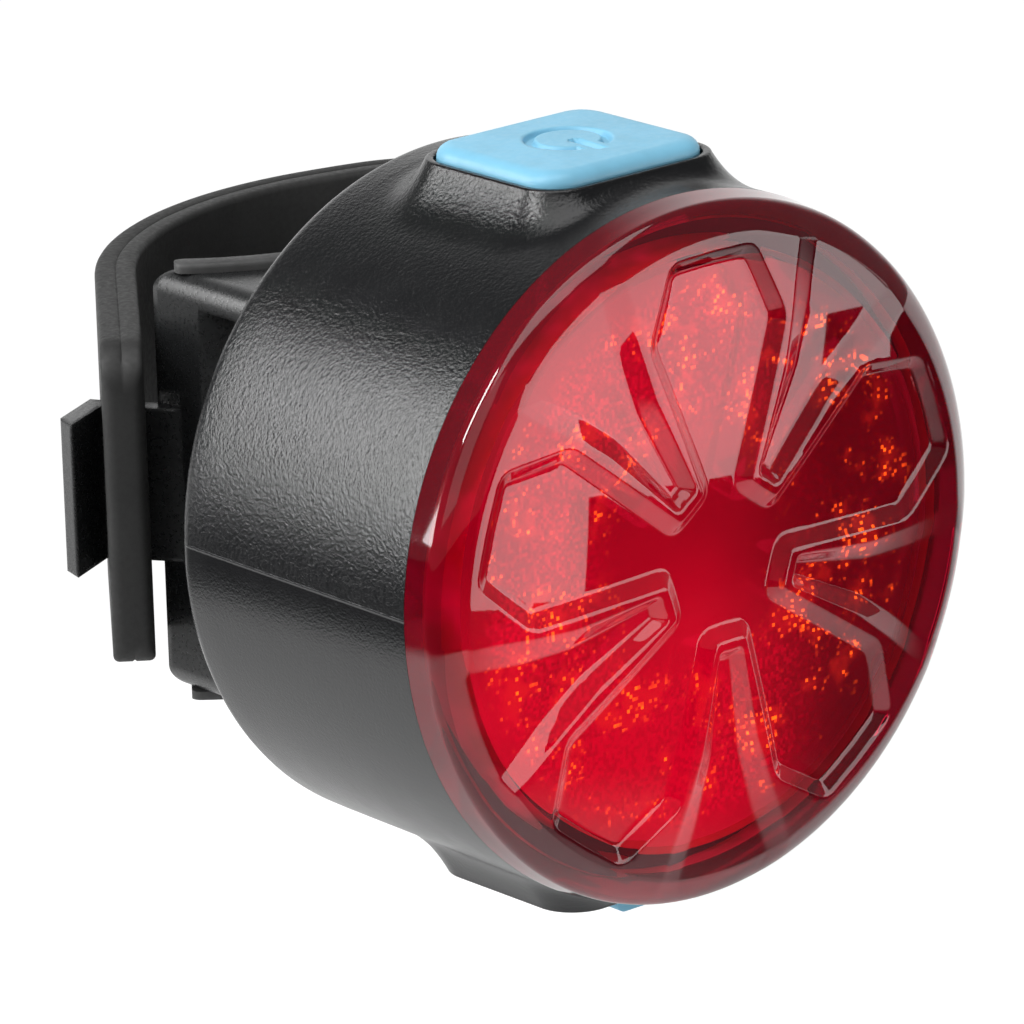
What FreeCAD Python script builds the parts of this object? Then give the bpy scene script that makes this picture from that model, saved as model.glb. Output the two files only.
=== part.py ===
import FreeCAD, Part
import math
import os

# Rechargeable bicycle tail light for a seat post, in millimetres.
# +Z is up, the lens faces -Y, and the origin is the seat post's axis at the light's mid height.
# A depth is measured along +Y from the joint between lens and housing.

V = FreeCAD.Vector

# Seat post, pad and bracket
SEAT_R = 15.8            # largest seat post, 31.6 mm across
PAD_T = 1.0              # rubber between bracket and seat post
PAD_HALF_W = 10.6        # the liner's half width
PAD_LIP_HALF_W = 11.5    # the half width of the lip that lies on the bracket's ends
PAD_LIP_T = 0.6          # height of that lip above and below the bracket
PAD_LIP_W = 1.3          # radial width of that lip
WEB_T = 4.5              # plastic between the housing and the pad's middle
BRACKET_HALF_W = 12.0
BRACKET_HALF_H = 12.35
BRACKET_EDGE_R = 1.2
HORN_CLEAR = 0.1         # between a horn's tip and the largest post
POCKET_WALL = 2.0        # plastic left behind the saddle by the side pockets
POCKET_FLOOR = 1.0       # plastic left against the housing
POCKET_DEPTH = 7.0       # how far a pocket goes in from the side
POCKET_TOP = 10.7
POCKET_BOTTOM = -10.4

# Housing
HOUSING_R = 20.0         # at the lens
HOUSING_REAR_R = 19.7
HOUSING_DEPTH = 19.8
HOUSING_BORE_R = 18.2
HOUSING_EDGE_R = 1.2     # rounding of the rear edge
SHOULDER_R = 16.6        # bore of the ring that the gasket lies on
SHOULDER_T = 0.7

# Raised bosses above and below, with the key and the port cover in them
BOSS_DEPTH = 8.64        # depth of the bosses' middle
BOSS_HALF_W = 6.6
BOSS_HALF_L = 6.1
BOSS_CORNER_R = 2.6
BOSS_RIM_Z = 20.75
BOSS_FLARE = 1.6         # how far the boss spreads down to its foot
BOSS_FLARE_H = 2.5
INNER_FLAT_Z = 16.9      # flat inner face of the housing behind a boss

# Power key
KEY_HALF_W = 5.95
KEY_HALF_L = 5.42
KEY_CORNER_R = 2.0
KEY_TOP_Z = 21.6
KEY_EDGE_R = 0.5
KEY_GAP = 0.1            # gap round the key
KEY_FLANGE_W = 0.85      # how far the key's foot reaches past its sides
KEY_FLANGE_T = 0.9
KEY_TRAVEL = 0.45
STEM_HALF_W = 1.2
STEM_HALF_L = 0.8
SYMBOL_R = 2.15          # power sign pressed into the key, its bar towards the lens
SYMBOL_LINE = 0.55
SYMBOL_BAR = 2.4
SYMBOL_DEEP = 0.2

# Lens
LENS_RIM_H = 1.49        # straight side of the lens
LENS_EDGE_R = 19.8       # radius where the side turns into the rounded edge
LENS_FACE_R = 17.8       # radius where the domed face begins
LENS_FACE_EDGE_H = 2.75  # height of the face at that radius
LENS_FACE_H = 3.95       # height of the face at the middle
FLOOR_H = 3.4            # height of the recessed floor at the middle
FLOOR_EDGE_H = 2.56      # height of the recessed floor at the face's edge
LENS_T = 1.7             # thickness under the recessed floor
SKIRT_T = 1.2
SKIRT_LEN = 1.6
SKIRT_GAP = 0.1
GASKET_T = 0.7
PETALS = 5
PETAL_TOP_H = 3.6        # height of the plane that the petals' upper outline lies on
PETAL_LOW_H = 2.5        # height of the plane that their lower outline lies on
RIB_TIP_R = 4.0          # blunt tips of the ribs between petals
PETAL_NECK_R = 5.0       # where a petal is narrowest
PETAL_SIDE_R = 12.0
PETAL_WIDE_R = 14.0      # where a petal is widest
PETAL_END_R = 17.2       # a petal's straight outer end
RELIEF_WALL = 0.55       # run of a petal's slanted wall
WEDGE_TIP_R = 9.0        # inner end of a wedge's floor
WEDGE_END_R = 15.0       # outer end of a wedge's floor
WEDGE_RISE = 3.1         # how much nearer the hub a wedge's walls meet
WEDGE_RAMP = 1.6         # run of the ramp at a wedge's outer end

# Inside
PANEL_R = 16.5
PANEL_T = 1.1
PANEL_BACK = 0.3         # depth of the prism panel's back
CUP_DEPTH = 3.2
REFLECTOR_FLOOR = 6.2    # depth of the reflector's back face
REFLECTOR_WALL = 1.0
CUP_RING_R = 10.5        # radius of the ring of light cups
CUP_FRONT_R = 4.6
CUP_BACK_R = 2.0
REFLECTOR_TOP_Z = 15.1   # cut flat below the key's foot
BOARD_R = 16.4
BOARD_DEPTH = 7.4
BOARD_T = 1.0
BOARD_TOP_Z = 15.1
LED_HALF = 1.4
LED_T = 0.9
SCREW_RING_R = 14.9
SCREW_ANGLE = 18.0       # above and below the horizontal, on both sides
SCREW_R = 0.8
HEAD_R = 1.5
HEAD_T = 1.0
BOARD_SCREW_LEN = 3.4
COVER_SCREW_LEN = 6.0
POST_R = 2.3
HEAD_CLEAR = 0.15

# Switch
SWITCH_DEPTH = 9.8       # depth of the plunger's axis
SWITCH_HALF_W = 2.2
SWITCH_LOW_Z = 12.2
SWITCH_TOP_Z = 14.6
PLUNGER_R = 0.75
PLUNGER_LEN = 2.3
PLUNGER_OUT = 0.95
PLUNGER_GAP = 0.05

# Charging port
PORT_HALF_W = 3.7
PORT_T = 2.5
PORT_WALL = 0.3
PORT_MOUTH_Z = -17.8
PORT_LEN = 4.9
TONGUE_T = 0.6
TONGUE_HALF_W = 2.6
TONGUE_LEN = 3.6
PORT_GAP = 0.1
RECESS_Z = -18.9         # floor of the recess that the port cover fills

# Port cover
FLAP_T = 1.6
FLAP_GAP = 0.2           # gap at the sides and front
FLAP_REAR_GAP = 0.05     # gap round the hinge edge
FLAP_HINGE_HALF_W = 3.6
FLAP_HINGE_LEN = 1.7     # narrow neck between the plate and the hinge edge
PLUG_HALF_W = 3.0
PLUG_HALF_L = 0.75
PLUG_LEN = 0.7
TAB_HALF_W = 2.5
TAB_L = 1.3
TAB_Z = -21.65

# Rear cover and battery
COVER_T = 2.6
COVER_GAP = 0.1
SEAL_W = 1.0
SEAL_DEEP = 0.85
SEAL_INSET = 0.8         # from the cover's outer face to its groove
BATTERY_HALF_W = 9.6
BATTERY_LOW_Z = -12.0
BATTERY_TOP_Z = 11.6
BATTERY_ROOM = 2.4        # from the board's back to the cell
BATTERY_EDGE_R = 1.0
TAPE_T = 1.0
TAPE_INSET = 2.6
LEAD_R = 0.4
LEAD_X = 6.0
LEAD_DROP = 1.3
LEAD_BEND_R = 0.9
LEAD_EXIT = 1.4          # how far behind the battery's front face a lead leaves it

# Bracket screws
BRACKET_SCREW_Z = 7.0
BRACKET_SCREW_R = 0.95
BRACKET_HEAD_R = 1.9
BRACKET_HEAD_T = 1.3
BRACKET_HEAD_SINK = 0.3
BRACKET_SCREW_LEN = 3.8

# Strap, drawn as a middle line in plan from its free end to its eye
STRAP_T = 2.4
STRAP_HALF_W = 9.3
STRAP_HEADING = 52.8     # direction of the straight end, from +X towards +Y
STRAP_TAIL = 5.57        # strap past the bracket's left corner
STRAP_CORNER_GAP = 0.78  # between that corner and the strap
STRAP_STRAIGHT = 16.4
STRAP_BEND_R = 21.4
STRAP_BEND_ANGLE = 63.3
STRAP_BACK_R = 45.0
STRAP_BACK_ANGLE = 5.0
STRAP_TURN_R = 8.0       # the tight turn back to the eye
STRAP_TOP_CORNER_R = 2.5
STRAP_LOW_CORNER_R = 1.2
EYE_R = 2.6
EYE_X = 3.6              # the eye's axis outside the bracket's side
EYE_Y = -0.6             # the eye's axis from the horn's tip
PIN_R = 1.2
PIN_HEAD_R = 1.9
PIN_HEAD_T = 0.5
EYE_PLAY = 0.05
EAR_GAP = 0.3            # between the strap's edge and an ear
EAR_R = 2.4

# Hook, in the strap's own directions: along it from the free end, and outward from its middle
HOOK_HALF_H = 4.5
HOOK_ROOT = 3.6          # front face of the arm where it leaves the bracket, along the strap
HOOK_ROOT_IN = 4.2       # how far inward of the strap's middle the arm is rooted
HOOK_FRONT = 5.35        # front face of the arm where it leaves the strap
HOOK_BACK = 6.9          # back face of the arm
HOOK_TIP = 1.95          # where the head's tip ends, towards the free end
HOOK_RISE = 1.7          # the head's rise from the strap to its tip
HOOK_TIP_L = 1.4         # slanted end face of the head, along the strap
HOOK_TIP_H = 0.6         # and outward
HOOK_HEEL = 0.55         # height of the head above the strap at the arm's back
HOOK_LIFT = 0.05         # between the strap's face and the head
SLOT_GAP = 0.4           # between the arm and the slot, on every side

# Worked out from the sizes above
FRONT = -(SEAT_R + PAD_T + WEB_T + HOUSING_DEPTH)
REAR = FRONT + HOUSING_DEPTH
SADDLE_R = SEAT_R + PAD_T
HORN_R = SEAT_R + HORN_CLEAR
HORN_TIP_Y = -math.sqrt(HORN_R ** 2 - BRACKET_HALF_W ** 2)
GASKET_DEPTH = SKIRT_LEN
SHOULDER_DEPTH = GASKET_DEPTH + GASKET_T
BOARD_BACK = BOARD_DEPTH + BOARD_T
COVER_FRONT = HOUSING_DEPTH - COVER_T
SEAL_DEPTH = HOUSING_DEPTH - SEAL_INSET - SEAL_W
BATTERY_FRONT = BOARD_BACK + BATTERY_ROOM
BATTERY_BACK = COVER_FRONT - TAPE_T
PORT_DEPTH = BOARD_BACK + PORT_T / 2
PIN_X = BRACKET_HALF_W + EYE_X
PIN_Y = HORN_TIP_Y + EYE_Y
EAR_LOW_Z = STRAP_HALF_W + EAR_GAP
HINGE_DEPTH = BOSS_DEPTH + KEY_HALF_L + KEY_GAP - FLAP_REAR_GAP - FLAP_T / 2
HINGE_Z = RECESS_Z - FLAP_T / 2


def box(x0, x1, d0, d1, z0, z1):
    """Block between two values of x, of depth and of z."""
    return Part.makeBox(x1 - x0, d1 - d0, z1 - z0, V(x0, FRONT + d0, z0))


def rod(radius, d0, d1, x=0.0, z=0.0):
    """Cylinder along the light's axis between two depths."""
    return Part.makeCylinder(radius, d1 - d0, V(x, FRONT + d0, z), V(0, 1, 0))


def ring(outer, inner, d0, d1):
    """Ring about the light's axis between two depths."""
    return rod(outer, d0, d1).cut(rod(inner, d0, d1))


def upright(radius, z0, z1, x, y):
    """Cylinder along Z."""
    return Part.makeCylinder(radius, z1 - z0, V(x, y, z0), V(0, 0, 1))


def join(shapes):
    """One solid from overlapping or touching shapes."""
    first, rest = shapes[0], shapes[1:]
    return first.multiFuse(rest).removeSplitter()


def rounded(shape, radius, chosen):
    """The shape with the chosen edges rounded."""
    return shape.makeFillet(radius, [edge for edge in shape.Edges if chosen(edge)])


def runs_along(edge, axis):
    """True for a straight edge along one axis."""
    ends = [vertex.Point for vertex in edge.Vertexes]
    if len(ends) != 2 or not isinstance(edge.Curve, Part.Line):
        return False
    step = (ends[1] - ends[0]).normalize()
    return abs(abs(step.dot(axis)) - 1) < 1e-6


def soft_block(half_w, half_l, corner, z0, z1, depth=BOSS_DEPTH):
    """Upright block with rounded corners, centred on a depth."""
    block = box(-half_w, half_w, depth - half_l, depth + half_l, z0, z1)
    return rounded(block, corner, lambda edge: runs_along(edge, V(0, 0, 1)))


def soft_outline(half_w, half_l, corner, z):
    """Rounded rectangle in a level plane over the bosses' middle."""
    outline = []
    y_mid = FRONT + BOSS_DEPTH
    for turn in range(4):
        sx = 1 if turn in (0, 3) else -1
        sy = 1 if turn in (0, 1) else -1
        cx, cy = sx * (half_w - corner), y_mid + sy * (half_l - corner)
        angles = [math.radians(90 * turn + step) for step in (0, 45, 90)]
        points = [V(cx + corner * math.cos(a), cy + corner * math.sin(a), z) for a in angles]
        if outline:
            outline.append(Part.LineSegment(outline[-1].Vertexes[-1].Point, points[0]).toShape())
        outline.append(Part.Arc(*points).toShape())
    outline.append(Part.LineSegment(outline[-1].Vertexes[-1].Point, outline[0].Vertexes[0].Point).toShape())
    return Part.Wire(outline)


def below(shape):
    """The shape turned over to the underside of the light."""
    return shape.mirror(V(0, 0, 0), V(0, 0, 1))


def screw_places():
    """Middle of each housing post, as (x, z)."""
    angles = (SCREW_ANGLE, 180 - SCREW_ANGLE, 180 + SCREW_ANGLE, -SCREW_ANGLE)
    turns = [math.radians(a) for a in angles]
    return [(SCREW_RING_R * math.cos(a), SCREW_RING_R * math.sin(a)) for a in turns]


def dome(height, edge_height, radius, back):
    """Solid under a shallow dome about the light's axis, down to a flat back at a depth."""
    middle_height = height - (height - edge_height) / 4
    crown = V(0, FRONT - height, 0)
    middle = V(radius / 2, FRONT - middle_height, 0)
    edge = V(radius, FRONT - edge_height, 0)
    foot = V(radius, FRONT + back, 0)
    hub = V(0, FRONT + back, 0)
    sides = [
        Part.Arc(crown, middle, edge).toShape(),
        Part.LineSegment(edge, foot).toShape(),
        Part.LineSegment(foot, hub).toShape(),
        Part.LineSegment(hub, crown).toShape(),
    ]
    return Part.Face(Part.Wire(sides)).revolve(V(0, 0, 0), V(0, 1, 0), 360)


def rounded_rim():
    """Solid ring between the lens's domed face and its straight side."""
    face_edge = V(LENS_FACE_R, FRONT - LENS_FACE_EDGE_H, 0)
    side_top = V(LENS_EDGE_R, FRONT - LENS_RIM_H, 0)
    reach = LENS_EDGE_R - LENS_FACE_R
    drop = LENS_FACE_EDGE_H - LENS_RIM_H
    middle = V(LENS_FACE_R + 0.72 * reach, FRONT - LENS_RIM_H - 0.68 * drop, 0)
    side_foot = V(HOUSING_R, FRONT, 0)
    inner_foot = V(HOUSING_BORE_R - SKIRT_GAP - SKIRT_T, FRONT, 0)
    inner_top = V(HOUSING_BORE_R - SKIRT_GAP - SKIRT_T, FRONT - LENS_RIM_H, 0)
    inner_face = V(LENS_FACE_R - SKIRT_T, FRONT - LENS_RIM_H, 0)
    sides = [
        Part.Arc(face_edge, middle, side_top).toShape(),
        Part.LineSegment(side_top, side_foot).toShape(),
        Part.LineSegment(side_foot, inner_foot).toShape(),
        Part.LineSegment(inner_foot, inner_top).toShape(),
    ]
    if (inner_top - inner_face).Length > 1e-6:
        sides.append(Part.LineSegment(inner_top, inner_face).toShape())
    sides.append(Part.LineSegment(inner_face, face_edge).toShape())
    return Part.Face(Part.Wire(sides)).revolve(V(0, 0, 0), V(0, 1, 0), 360)


def polar_outline(corners, height):
    """Closed outline in a plane square to the axis, from corners of (radius, angle)."""
    points = []
    for radius, angle in corners:
        turn = math.radians(angle)
        points.append(V(radius * math.cos(turn), FRONT - height, radius * math.sin(turn)))
    return Part.makePolygon(points + points[:1])


def petal_corners(half_petal):
    """All petals and the hub as one outline, from the corners of half a petal."""
    corners = []
    pitch = 360 / PETALS
    for petal in range(PETALS):
        middle = 90 + petal * pitch
        corners += [(radius, middle - angle) for radius, angle in half_petal]
        corners += [(radius, middle + angle) for radius, angle in reversed(half_petal)]
    return corners


def relief_tools():
    """The petals with their hub, and the wedges between petals, as cutting solids."""
    pitch = 360 / PETALS
    low_half = [
        (RIB_TIP_R, pitch * 0.30),
        (PETAL_NECK_R, 12.5),
        (PETAL_SIDE_R, 17.0),
        (PETAL_WIDE_R, 18.0),
        (PETAL_END_R, 9.0),
    ]
    top_half = [
        (RIB_TIP_R + RELIEF_WALL, pitch * 0.36),
        (PETAL_NECK_R + RELIEF_WALL, 19.5),
        (PETAL_SIDE_R, 21.2),
        (PETAL_WIDE_R + RELIEF_WALL / 2, 21.4),
        (PETAL_END_R + RELIEF_WALL, 11.0),
    ]
    low = polar_outline(petal_corners(low_half), PETAL_LOW_H)
    top = polar_outline(petal_corners(top_half), PETAL_TOP_H)
    tools = [Part.makeLoft([low, top], True, True)]
    for petal in range(PETALS):
        middle = 90 + (petal + 0.5) * pitch
        tip, end = WEDGE_TIP_R - WEDGE_RISE, WEDGE_END_R + WEDGE_RAMP
        low_wedge = [(WEDGE_TIP_R, middle), (WEDGE_END_R, middle + 5.0), (WEDGE_END_R, middle - 5.0)]
        top_wedge = [(tip, middle), (end, middle + 10.5), (end, middle - 10.5)]
        outlines = [polar_outline(low_wedge, PETAL_LOW_H), polar_outline(top_wedge, PETAL_TOP_H)]
        tools.append(Part.makeLoft(outlines, True, True))
    return tools


def lens():
    """Red lens: a domed face with recessed petals, a rounded rim and a skirt into the housing."""
    skirt_r = HOUSING_BORE_R - SKIRT_GAP
    inner_r = skirt_r - SKIRT_T
    face = dome(LENS_FACE_H, LENS_FACE_EDGE_H, LENS_FACE_R, 0)
    upper = face.cut(Part.makeCompound(relief_tools() + [rod(LENS_FACE_R, -PETAL_LOW_H, 0)]))
    floor = dome(FLOOR_H, FLOOR_EDGE_H, LENS_FACE_R, 0)
    hollow = dome(FLOOR_H - LENS_T, FLOOR_EDGE_H - LENS_T, inner_r, 1)
    skirt = ring(skirt_r, inner_r, -LENS_RIM_H, SKIRT_LEN)
    body = join([floor, upper, rounded_rim(), skirt])
    return body.cut(hollow)


def boss(flat_z):
    """Raised boss on top, spreading towards its foot, with the inner flat that backs it."""
    top = soft_outline(BOSS_HALF_W, BOSS_HALF_L, BOSS_CORNER_R, BOSS_RIM_Z)
    foot_z = BOSS_RIM_Z - BOSS_FLARE_H
    foot = soft_outline(BOSS_HALF_W + BOSS_FLARE, BOSS_HALF_L + BOSS_FLARE, BOSS_CORNER_R, foot_z)
    outside = Part.makeLoft([foot, top], True, True)
    wide = BOSS_HALF_W + BOSS_FLARE
    inside = box(-wide, wide, SHOULDER_DEPTH, BOARD_BACK + 2 * BOSS_HALF_L, flat_z, BOSS_RIM_Z)
    shell = outside.cut(rod(HOUSING_BORE_R, 0, HOUSING_DEPTH))
    backing = inside.common(rod(HOUSING_BORE_R + SHOULDER_T, 0, HOUSING_DEPTH))
    return [shell, backing.cut(rod(HOUSING_R, COVER_FRONT, HOUSING_DEPTH))]


def posts():
    """Four posts inside the housing, each tied to its wall."""
    shapes = []
    for x, z in screw_places():
        turn = math.degrees(math.atan2(z, x))
        shapes.append(rod(POST_R, BOARD_BACK, COVER_FRONT, x, z))
        rib = box(SCREW_RING_R, HOUSING_BORE_R + SHOULDER_T, BOARD_BACK, COVER_FRONT, -SCREW_R, SCREW_R)
        rib.rotate(V(0, 0, 0), V(0, 1, 0), -turn)
        shapes.append(rib)
    return shapes


def housing():
    """Black barrel with a boss for the key above and one for the port cover below."""
    barrel = Part.makeCone(HOUSING_R, HOUSING_REAR_R, HOUSING_DEPTH, V(0, FRONT, 0), V(0, 1, 0))
    barrel = rounded(barrel, HOUSING_EDGE_R, lambda edge: edge.BoundBox.YMin > REAR - 1e-3)
    barrel = barrel.cut(rod(HOUSING_BORE_R, -1, HOUSING_DEPTH + 1))
    shoulder = ring(HOUSING_BORE_R + SHOULDER_T, SHOULDER_R, SHOULDER_DEPTH, SHOULDER_DEPTH + SHOULDER_T)
    parts = [barrel, shoulder] + posts() + boss(INNER_FLAT_Z)
    parts += [below(shape) for shape in boss(INNER_FLAT_Z)]
    body = join(parts)
    hole_w, hole_l = KEY_HALF_W + KEY_GAP, KEY_HALF_L + KEY_GAP
    key_hole = soft_block(hole_w, hole_l, KEY_CORNER_R + KEY_GAP, REFLECTOR_TOP_Z, KEY_TOP_Z)
    foot_w, foot_l = hole_w + KEY_FLANGE_W, hole_l + KEY_FLANGE_W
    foot_room = soft_block(foot_w, foot_l, KEY_CORNER_R + KEY_GAP, REFLECTOR_TOP_Z, INNER_FLAT_Z)
    recess = soft_block(hole_w, hole_l, KEY_CORNER_R + KEY_GAP, -KEY_TOP_Z, RECESS_Z)
    slot_w, slot_l = PORT_HALF_W + PORT_GAP, PORT_T / 2 + PORT_GAP
    slot = box(-slot_w, slot_w, PORT_DEPTH - slot_l, PORT_DEPTH + slot_l, RECESS_Z - 1, PORT_MOUTH_Z + PORT_LEN)
    cutters = [key_hole, foot_room, recess, slot]
    cutters += [rod(SCREW_R, 0, HOUSING_DEPTH, x, z) for x, z in screw_places()]
    return body.cut(Part.makeCompound(cutters))


def power_sign():
    """Broken ring and bar of a power sign, as a cutting solid above the key."""
    y_mid = FRONT + BOSS_DEPTH
    low = KEY_TOP_Z - SYMBOL_DEEP
    outer = upright(SYMBOL_R + SYMBOL_LINE / 2, low, KEY_TOP_Z + 1, 0, y_mid)
    inner = upright(SYMBOL_R - SYMBOL_LINE / 2, low, KEY_TOP_Z + 1, 0, y_mid)
    half_gap = SYMBOL_LINE * 1.5
    opening = Part.makeBox(2 * half_gap, 2 * SYMBOL_R, 3, V(-half_gap, y_mid - 2 * SYMBOL_R, low - 1))
    bar = Part.makeBox(SYMBOL_LINE, SYMBOL_BAR, 3, V(-SYMBOL_LINE / 2, y_mid - SYMBOL_R - SYMBOL_LINE, low))
    return outer.cut(inner).cut(opening).fuse(bar)


def power_button():
    """Blue key: a soft block on a wider foot, with a stem that presses the switch."""
    block = soft_block(KEY_HALF_W, KEY_HALF_L, KEY_CORNER_R, INNER_FLAT_Z, KEY_TOP_Z)
    block = rounded(block, KEY_EDGE_R, lambda edge: edge.BoundBox.ZMin > KEY_TOP_Z - 1e-3)
    foot_z = INNER_FLAT_Z - KEY_FLANGE_T
    foot_w, foot_l = KEY_HALF_W + KEY_FLANGE_W, KEY_HALF_L + KEY_FLANGE_W
    foot = soft_block(foot_w, foot_l, KEY_CORNER_R, foot_z, INNER_FLAT_Z)
    stem_low = SWITCH_TOP_Z + PLUNGER_OUT
    stem = box(-STEM_HALF_W, STEM_HALF_W, SWITCH_DEPTH - STEM_HALF_L, SWITCH_DEPTH + STEM_HALF_L, stem_low, foot_z)
    return join([block, foot, stem]).cut(power_sign())


def usb_cover():
    """Blue flap in the lower boss: a plate with a plug, a finger tab and a round hinge edge."""
    recess_front = BOSS_DEPTH - KEY_HALF_L - KEY_GAP
    half_w = KEY_HALF_W + KEY_GAP - FLAP_GAP
    front = recess_front + FLAP_GAP
    back = HINGE_DEPTH - FLAP_HINGE_LEN
    low = RECESS_Z - FLAP_T
    plate = box(-half_w, half_w, front, back, low, RECESS_Z)
    front_y = FRONT + front
    plate = rounded(
        plate,
        KEY_CORNER_R - FLAP_GAP / 2,
        lambda edge: runs_along(edge, V(0, 0, 1)) and edge.BoundBox.YMax < front_y + 1e-3,
    )
    neck = box(-FLAP_HINGE_HALF_W, FLAP_HINGE_HALF_W, back - 0.1, HINGE_DEPTH, low, RECESS_Z)
    knuckle = Part.makeCylinder(
        FLAP_T / 2, 2 * FLAP_HINGE_HALF_W, V(-FLAP_HINGE_HALF_W, FRONT + HINGE_DEPTH, HINGE_Z), V(1, 0, 0)
    )
    plug = box(
        -PLUG_HALF_W, PLUG_HALF_W, PORT_DEPTH - PLUG_HALF_L, PORT_DEPTH + PLUG_HALF_L, RECESS_Z, RECESS_Z + PLUG_LEN
    )
    tab = box(-TAB_HALF_W, TAB_HALF_W, front, front + TAB_L, TAB_Z, low)
    tab = rounded(tab, TAB_L / 2, lambda edge: runs_along(edge, V(0, 1, 0)) and edge.BoundBox.ZMax < TAB_Z + 1e-3)
    return join([plate, neck, knuckle, plug, tab])


def reflector():
    """Plastic tray with a light cup for each lamp."""
    floor = rod(PANEL_R, REFLECTOR_FLOOR - CUP_DEPTH, REFLECTOR_FLOOR)
    wall = ring(PANEL_R, PANEL_R - REFLECTOR_WALL, PANEL_BACK, BOARD_DEPTH)
    cutters = []
    for x, z in led_places():
        base = V(x, FRONT + REFLECTOR_FLOOR, z)
        cutters.append(Part.makeCone(CUP_BACK_R, CUP_FRONT_R, CUP_DEPTH, base, V(0, -1, 0)))
    for x, z in screw_places():
        cutters.append(rod(HEAD_R + HEAD_CLEAR, REFLECTOR_FLOOR, BOARD_DEPTH, x, z))
    cutters.append(box(-PANEL_R, PANEL_R, PANEL_BACK, BOARD_DEPTH, REFLECTOR_TOP_Z, PANEL_R + 1))
    return join([floor, wall]).cut(Part.makeCompound(cutters))


def led_places():
    """Middle of each lamp, as (x, z): one behind the hub and one behind each petal."""
    places = [(0.0, 0.0)]
    for petal in range(PETALS):
        turn = math.radians(90 + petal * 360 / PETALS)
        places.append((CUP_RING_R * math.cos(turn), CUP_RING_R * math.sin(turn)))
    return places


def leds():
    """Square lamp bodies on the board's front."""
    shapes = []
    for x, z in led_places():
        shapes.append(box(x - LED_HALF, x + LED_HALF, BOARD_DEPTH - LED_T, BOARD_DEPTH, z - LED_HALF, z + LED_HALF))
    return Part.makeCompound(shapes)


def circuit_board():
    """Round board, cut flat on top to clear the key's foot."""
    board = rod(BOARD_R, BOARD_DEPTH, BOARD_BACK)
    flat = box(-BOARD_R, BOARD_R, BOARD_DEPTH, BOARD_BACK, BOARD_TOP_Z, BOARD_R + 1)
    holes = [rod(SCREW_R, BOARD_DEPTH, BOARD_BACK, x, z) for x, z in screw_places()]
    return board.cut(Part.makeCompound([flat] + holes))


def board_parts():
    """Chips and capacitors on the board's back, each (x, z, half width, half height, thickness)."""
    chips = [(-8.0, 13.0, 1.6, 1.0, 0.8), (8.0, 13.0, 1.0, 0.6, 0.6), (-6.0, 4.0, 2.5, 2.5, 0.9)]
    chips += [(4.0, 3.0, 1.5, 2.0, 1.0), (7.0, -3.0, 1.0, 0.5, 0.6), (-3.0, -6.0, 2.0, 1.2, 0.8)]
    shapes = [box(x - w, x + w, BOARD_BACK, BOARD_BACK + t, z - h, z + h) for x, z, w, h, t in chips]
    return Part.makeCompound(shapes)


def screws(places, seat, length, turned_front):
    """Round-headed screws whose heads sit at a depth, heads towards the front or the rear."""
    shapes = []
    for x, z in places:
        if turned_front:
            head, shank = rod(HEAD_R, seat - HEAD_T, seat, x, z), rod(SCREW_R, seat, seat + length, x, z)
            socket = rod(HEAD_R * 0.4, seat - HEAD_T, seat - HEAD_T / 2, x, z)
        else:
            head, shank = rod(HEAD_R, seat, seat + HEAD_T, x, z), rod(SCREW_R, seat - length, seat, x, z)
            socket = rod(HEAD_R * 0.4, seat + HEAD_T / 2, seat + HEAD_T, x, z)
        shapes.append(join([head, shank]).cut(socket))
    return Part.makeCompound(shapes)


def switch_body():
    """Side-pressed switch on the board's back, with the plunger's bore."""
    half_l = SWITCH_DEPTH - BOARD_BACK
    body = box(-SWITCH_HALF_W, SWITCH_HALF_W, BOARD_BACK, SWITCH_DEPTH + half_l, SWITCH_LOW_Z, SWITCH_TOP_Z)
    bore_low = SWITCH_TOP_Z + PLUNGER_OUT - PLUNGER_LEN - KEY_TRAVEL - 0.1
    return body.cut(upright(PLUNGER_R + PLUNGER_GAP, bore_low, SWITCH_TOP_Z + 1, 0, FRONT + SWITCH_DEPTH))


def switch_plunger():
    """Plunger that the key's stem presses."""
    top = SWITCH_TOP_Z + PLUNGER_OUT
    return upright(PLUNGER_R, top - PLUNGER_LEN, top, 0, FRONT + SWITCH_DEPTH)


def usb_socket():
    """Metal shell of the charging port, open downward."""
    front, back = PORT_DEPTH - PORT_T / 2, PORT_DEPTH + PORT_T / 2
    shell = box(-PORT_HALF_W, PORT_HALF_W, front, back, PORT_MOUTH_Z, PORT_MOUTH_Z + PORT_LEN)
    shell = rounded(shell, PORT_T / 4, lambda edge: runs_along(edge, V(0, 0, 1)))
    inner_w = PORT_HALF_W - PORT_WALL
    top = PORT_MOUTH_Z + PORT_LEN - PORT_WALL
    return shell.cut(box(-inner_w, inner_w, front + PORT_WALL, back - PORT_WALL, PORT_MOUTH_Z - 1, top))


def usb_tongue():
    """Contact tongue inside the port."""
    top = PORT_MOUTH_Z + PORT_LEN - PORT_WALL
    half_t = TONGUE_T / 2
    return box(-TONGUE_HALF_W, TONGUE_HALF_W, PORT_DEPTH - half_t, PORT_DEPTH + half_t, top - TONGUE_LEN, top)


def battery():
    """Flat cell behind the board."""
    cell = box(
        -BATTERY_HALF_W, BATTERY_HALF_W, BATTERY_FRONT, BATTERY_BACK, BATTERY_LOW_Z, BATTERY_TOP_Z
    )
    return rounded(cell, BATTERY_EDGE_R, lambda edge: runs_along(edge, V(1, 0, 0)))


def battery_tape():
    """Foam tape between the cell and the rear cover."""
    half_w = BATTERY_HALF_W - TAPE_INSET
    low, top = BATTERY_LOW_Z + TAPE_INSET, BATTERY_TOP_Z - TAPE_INSET
    return box(-half_w, half_w, BATTERY_BACK, COVER_FRONT, low, top)


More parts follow.
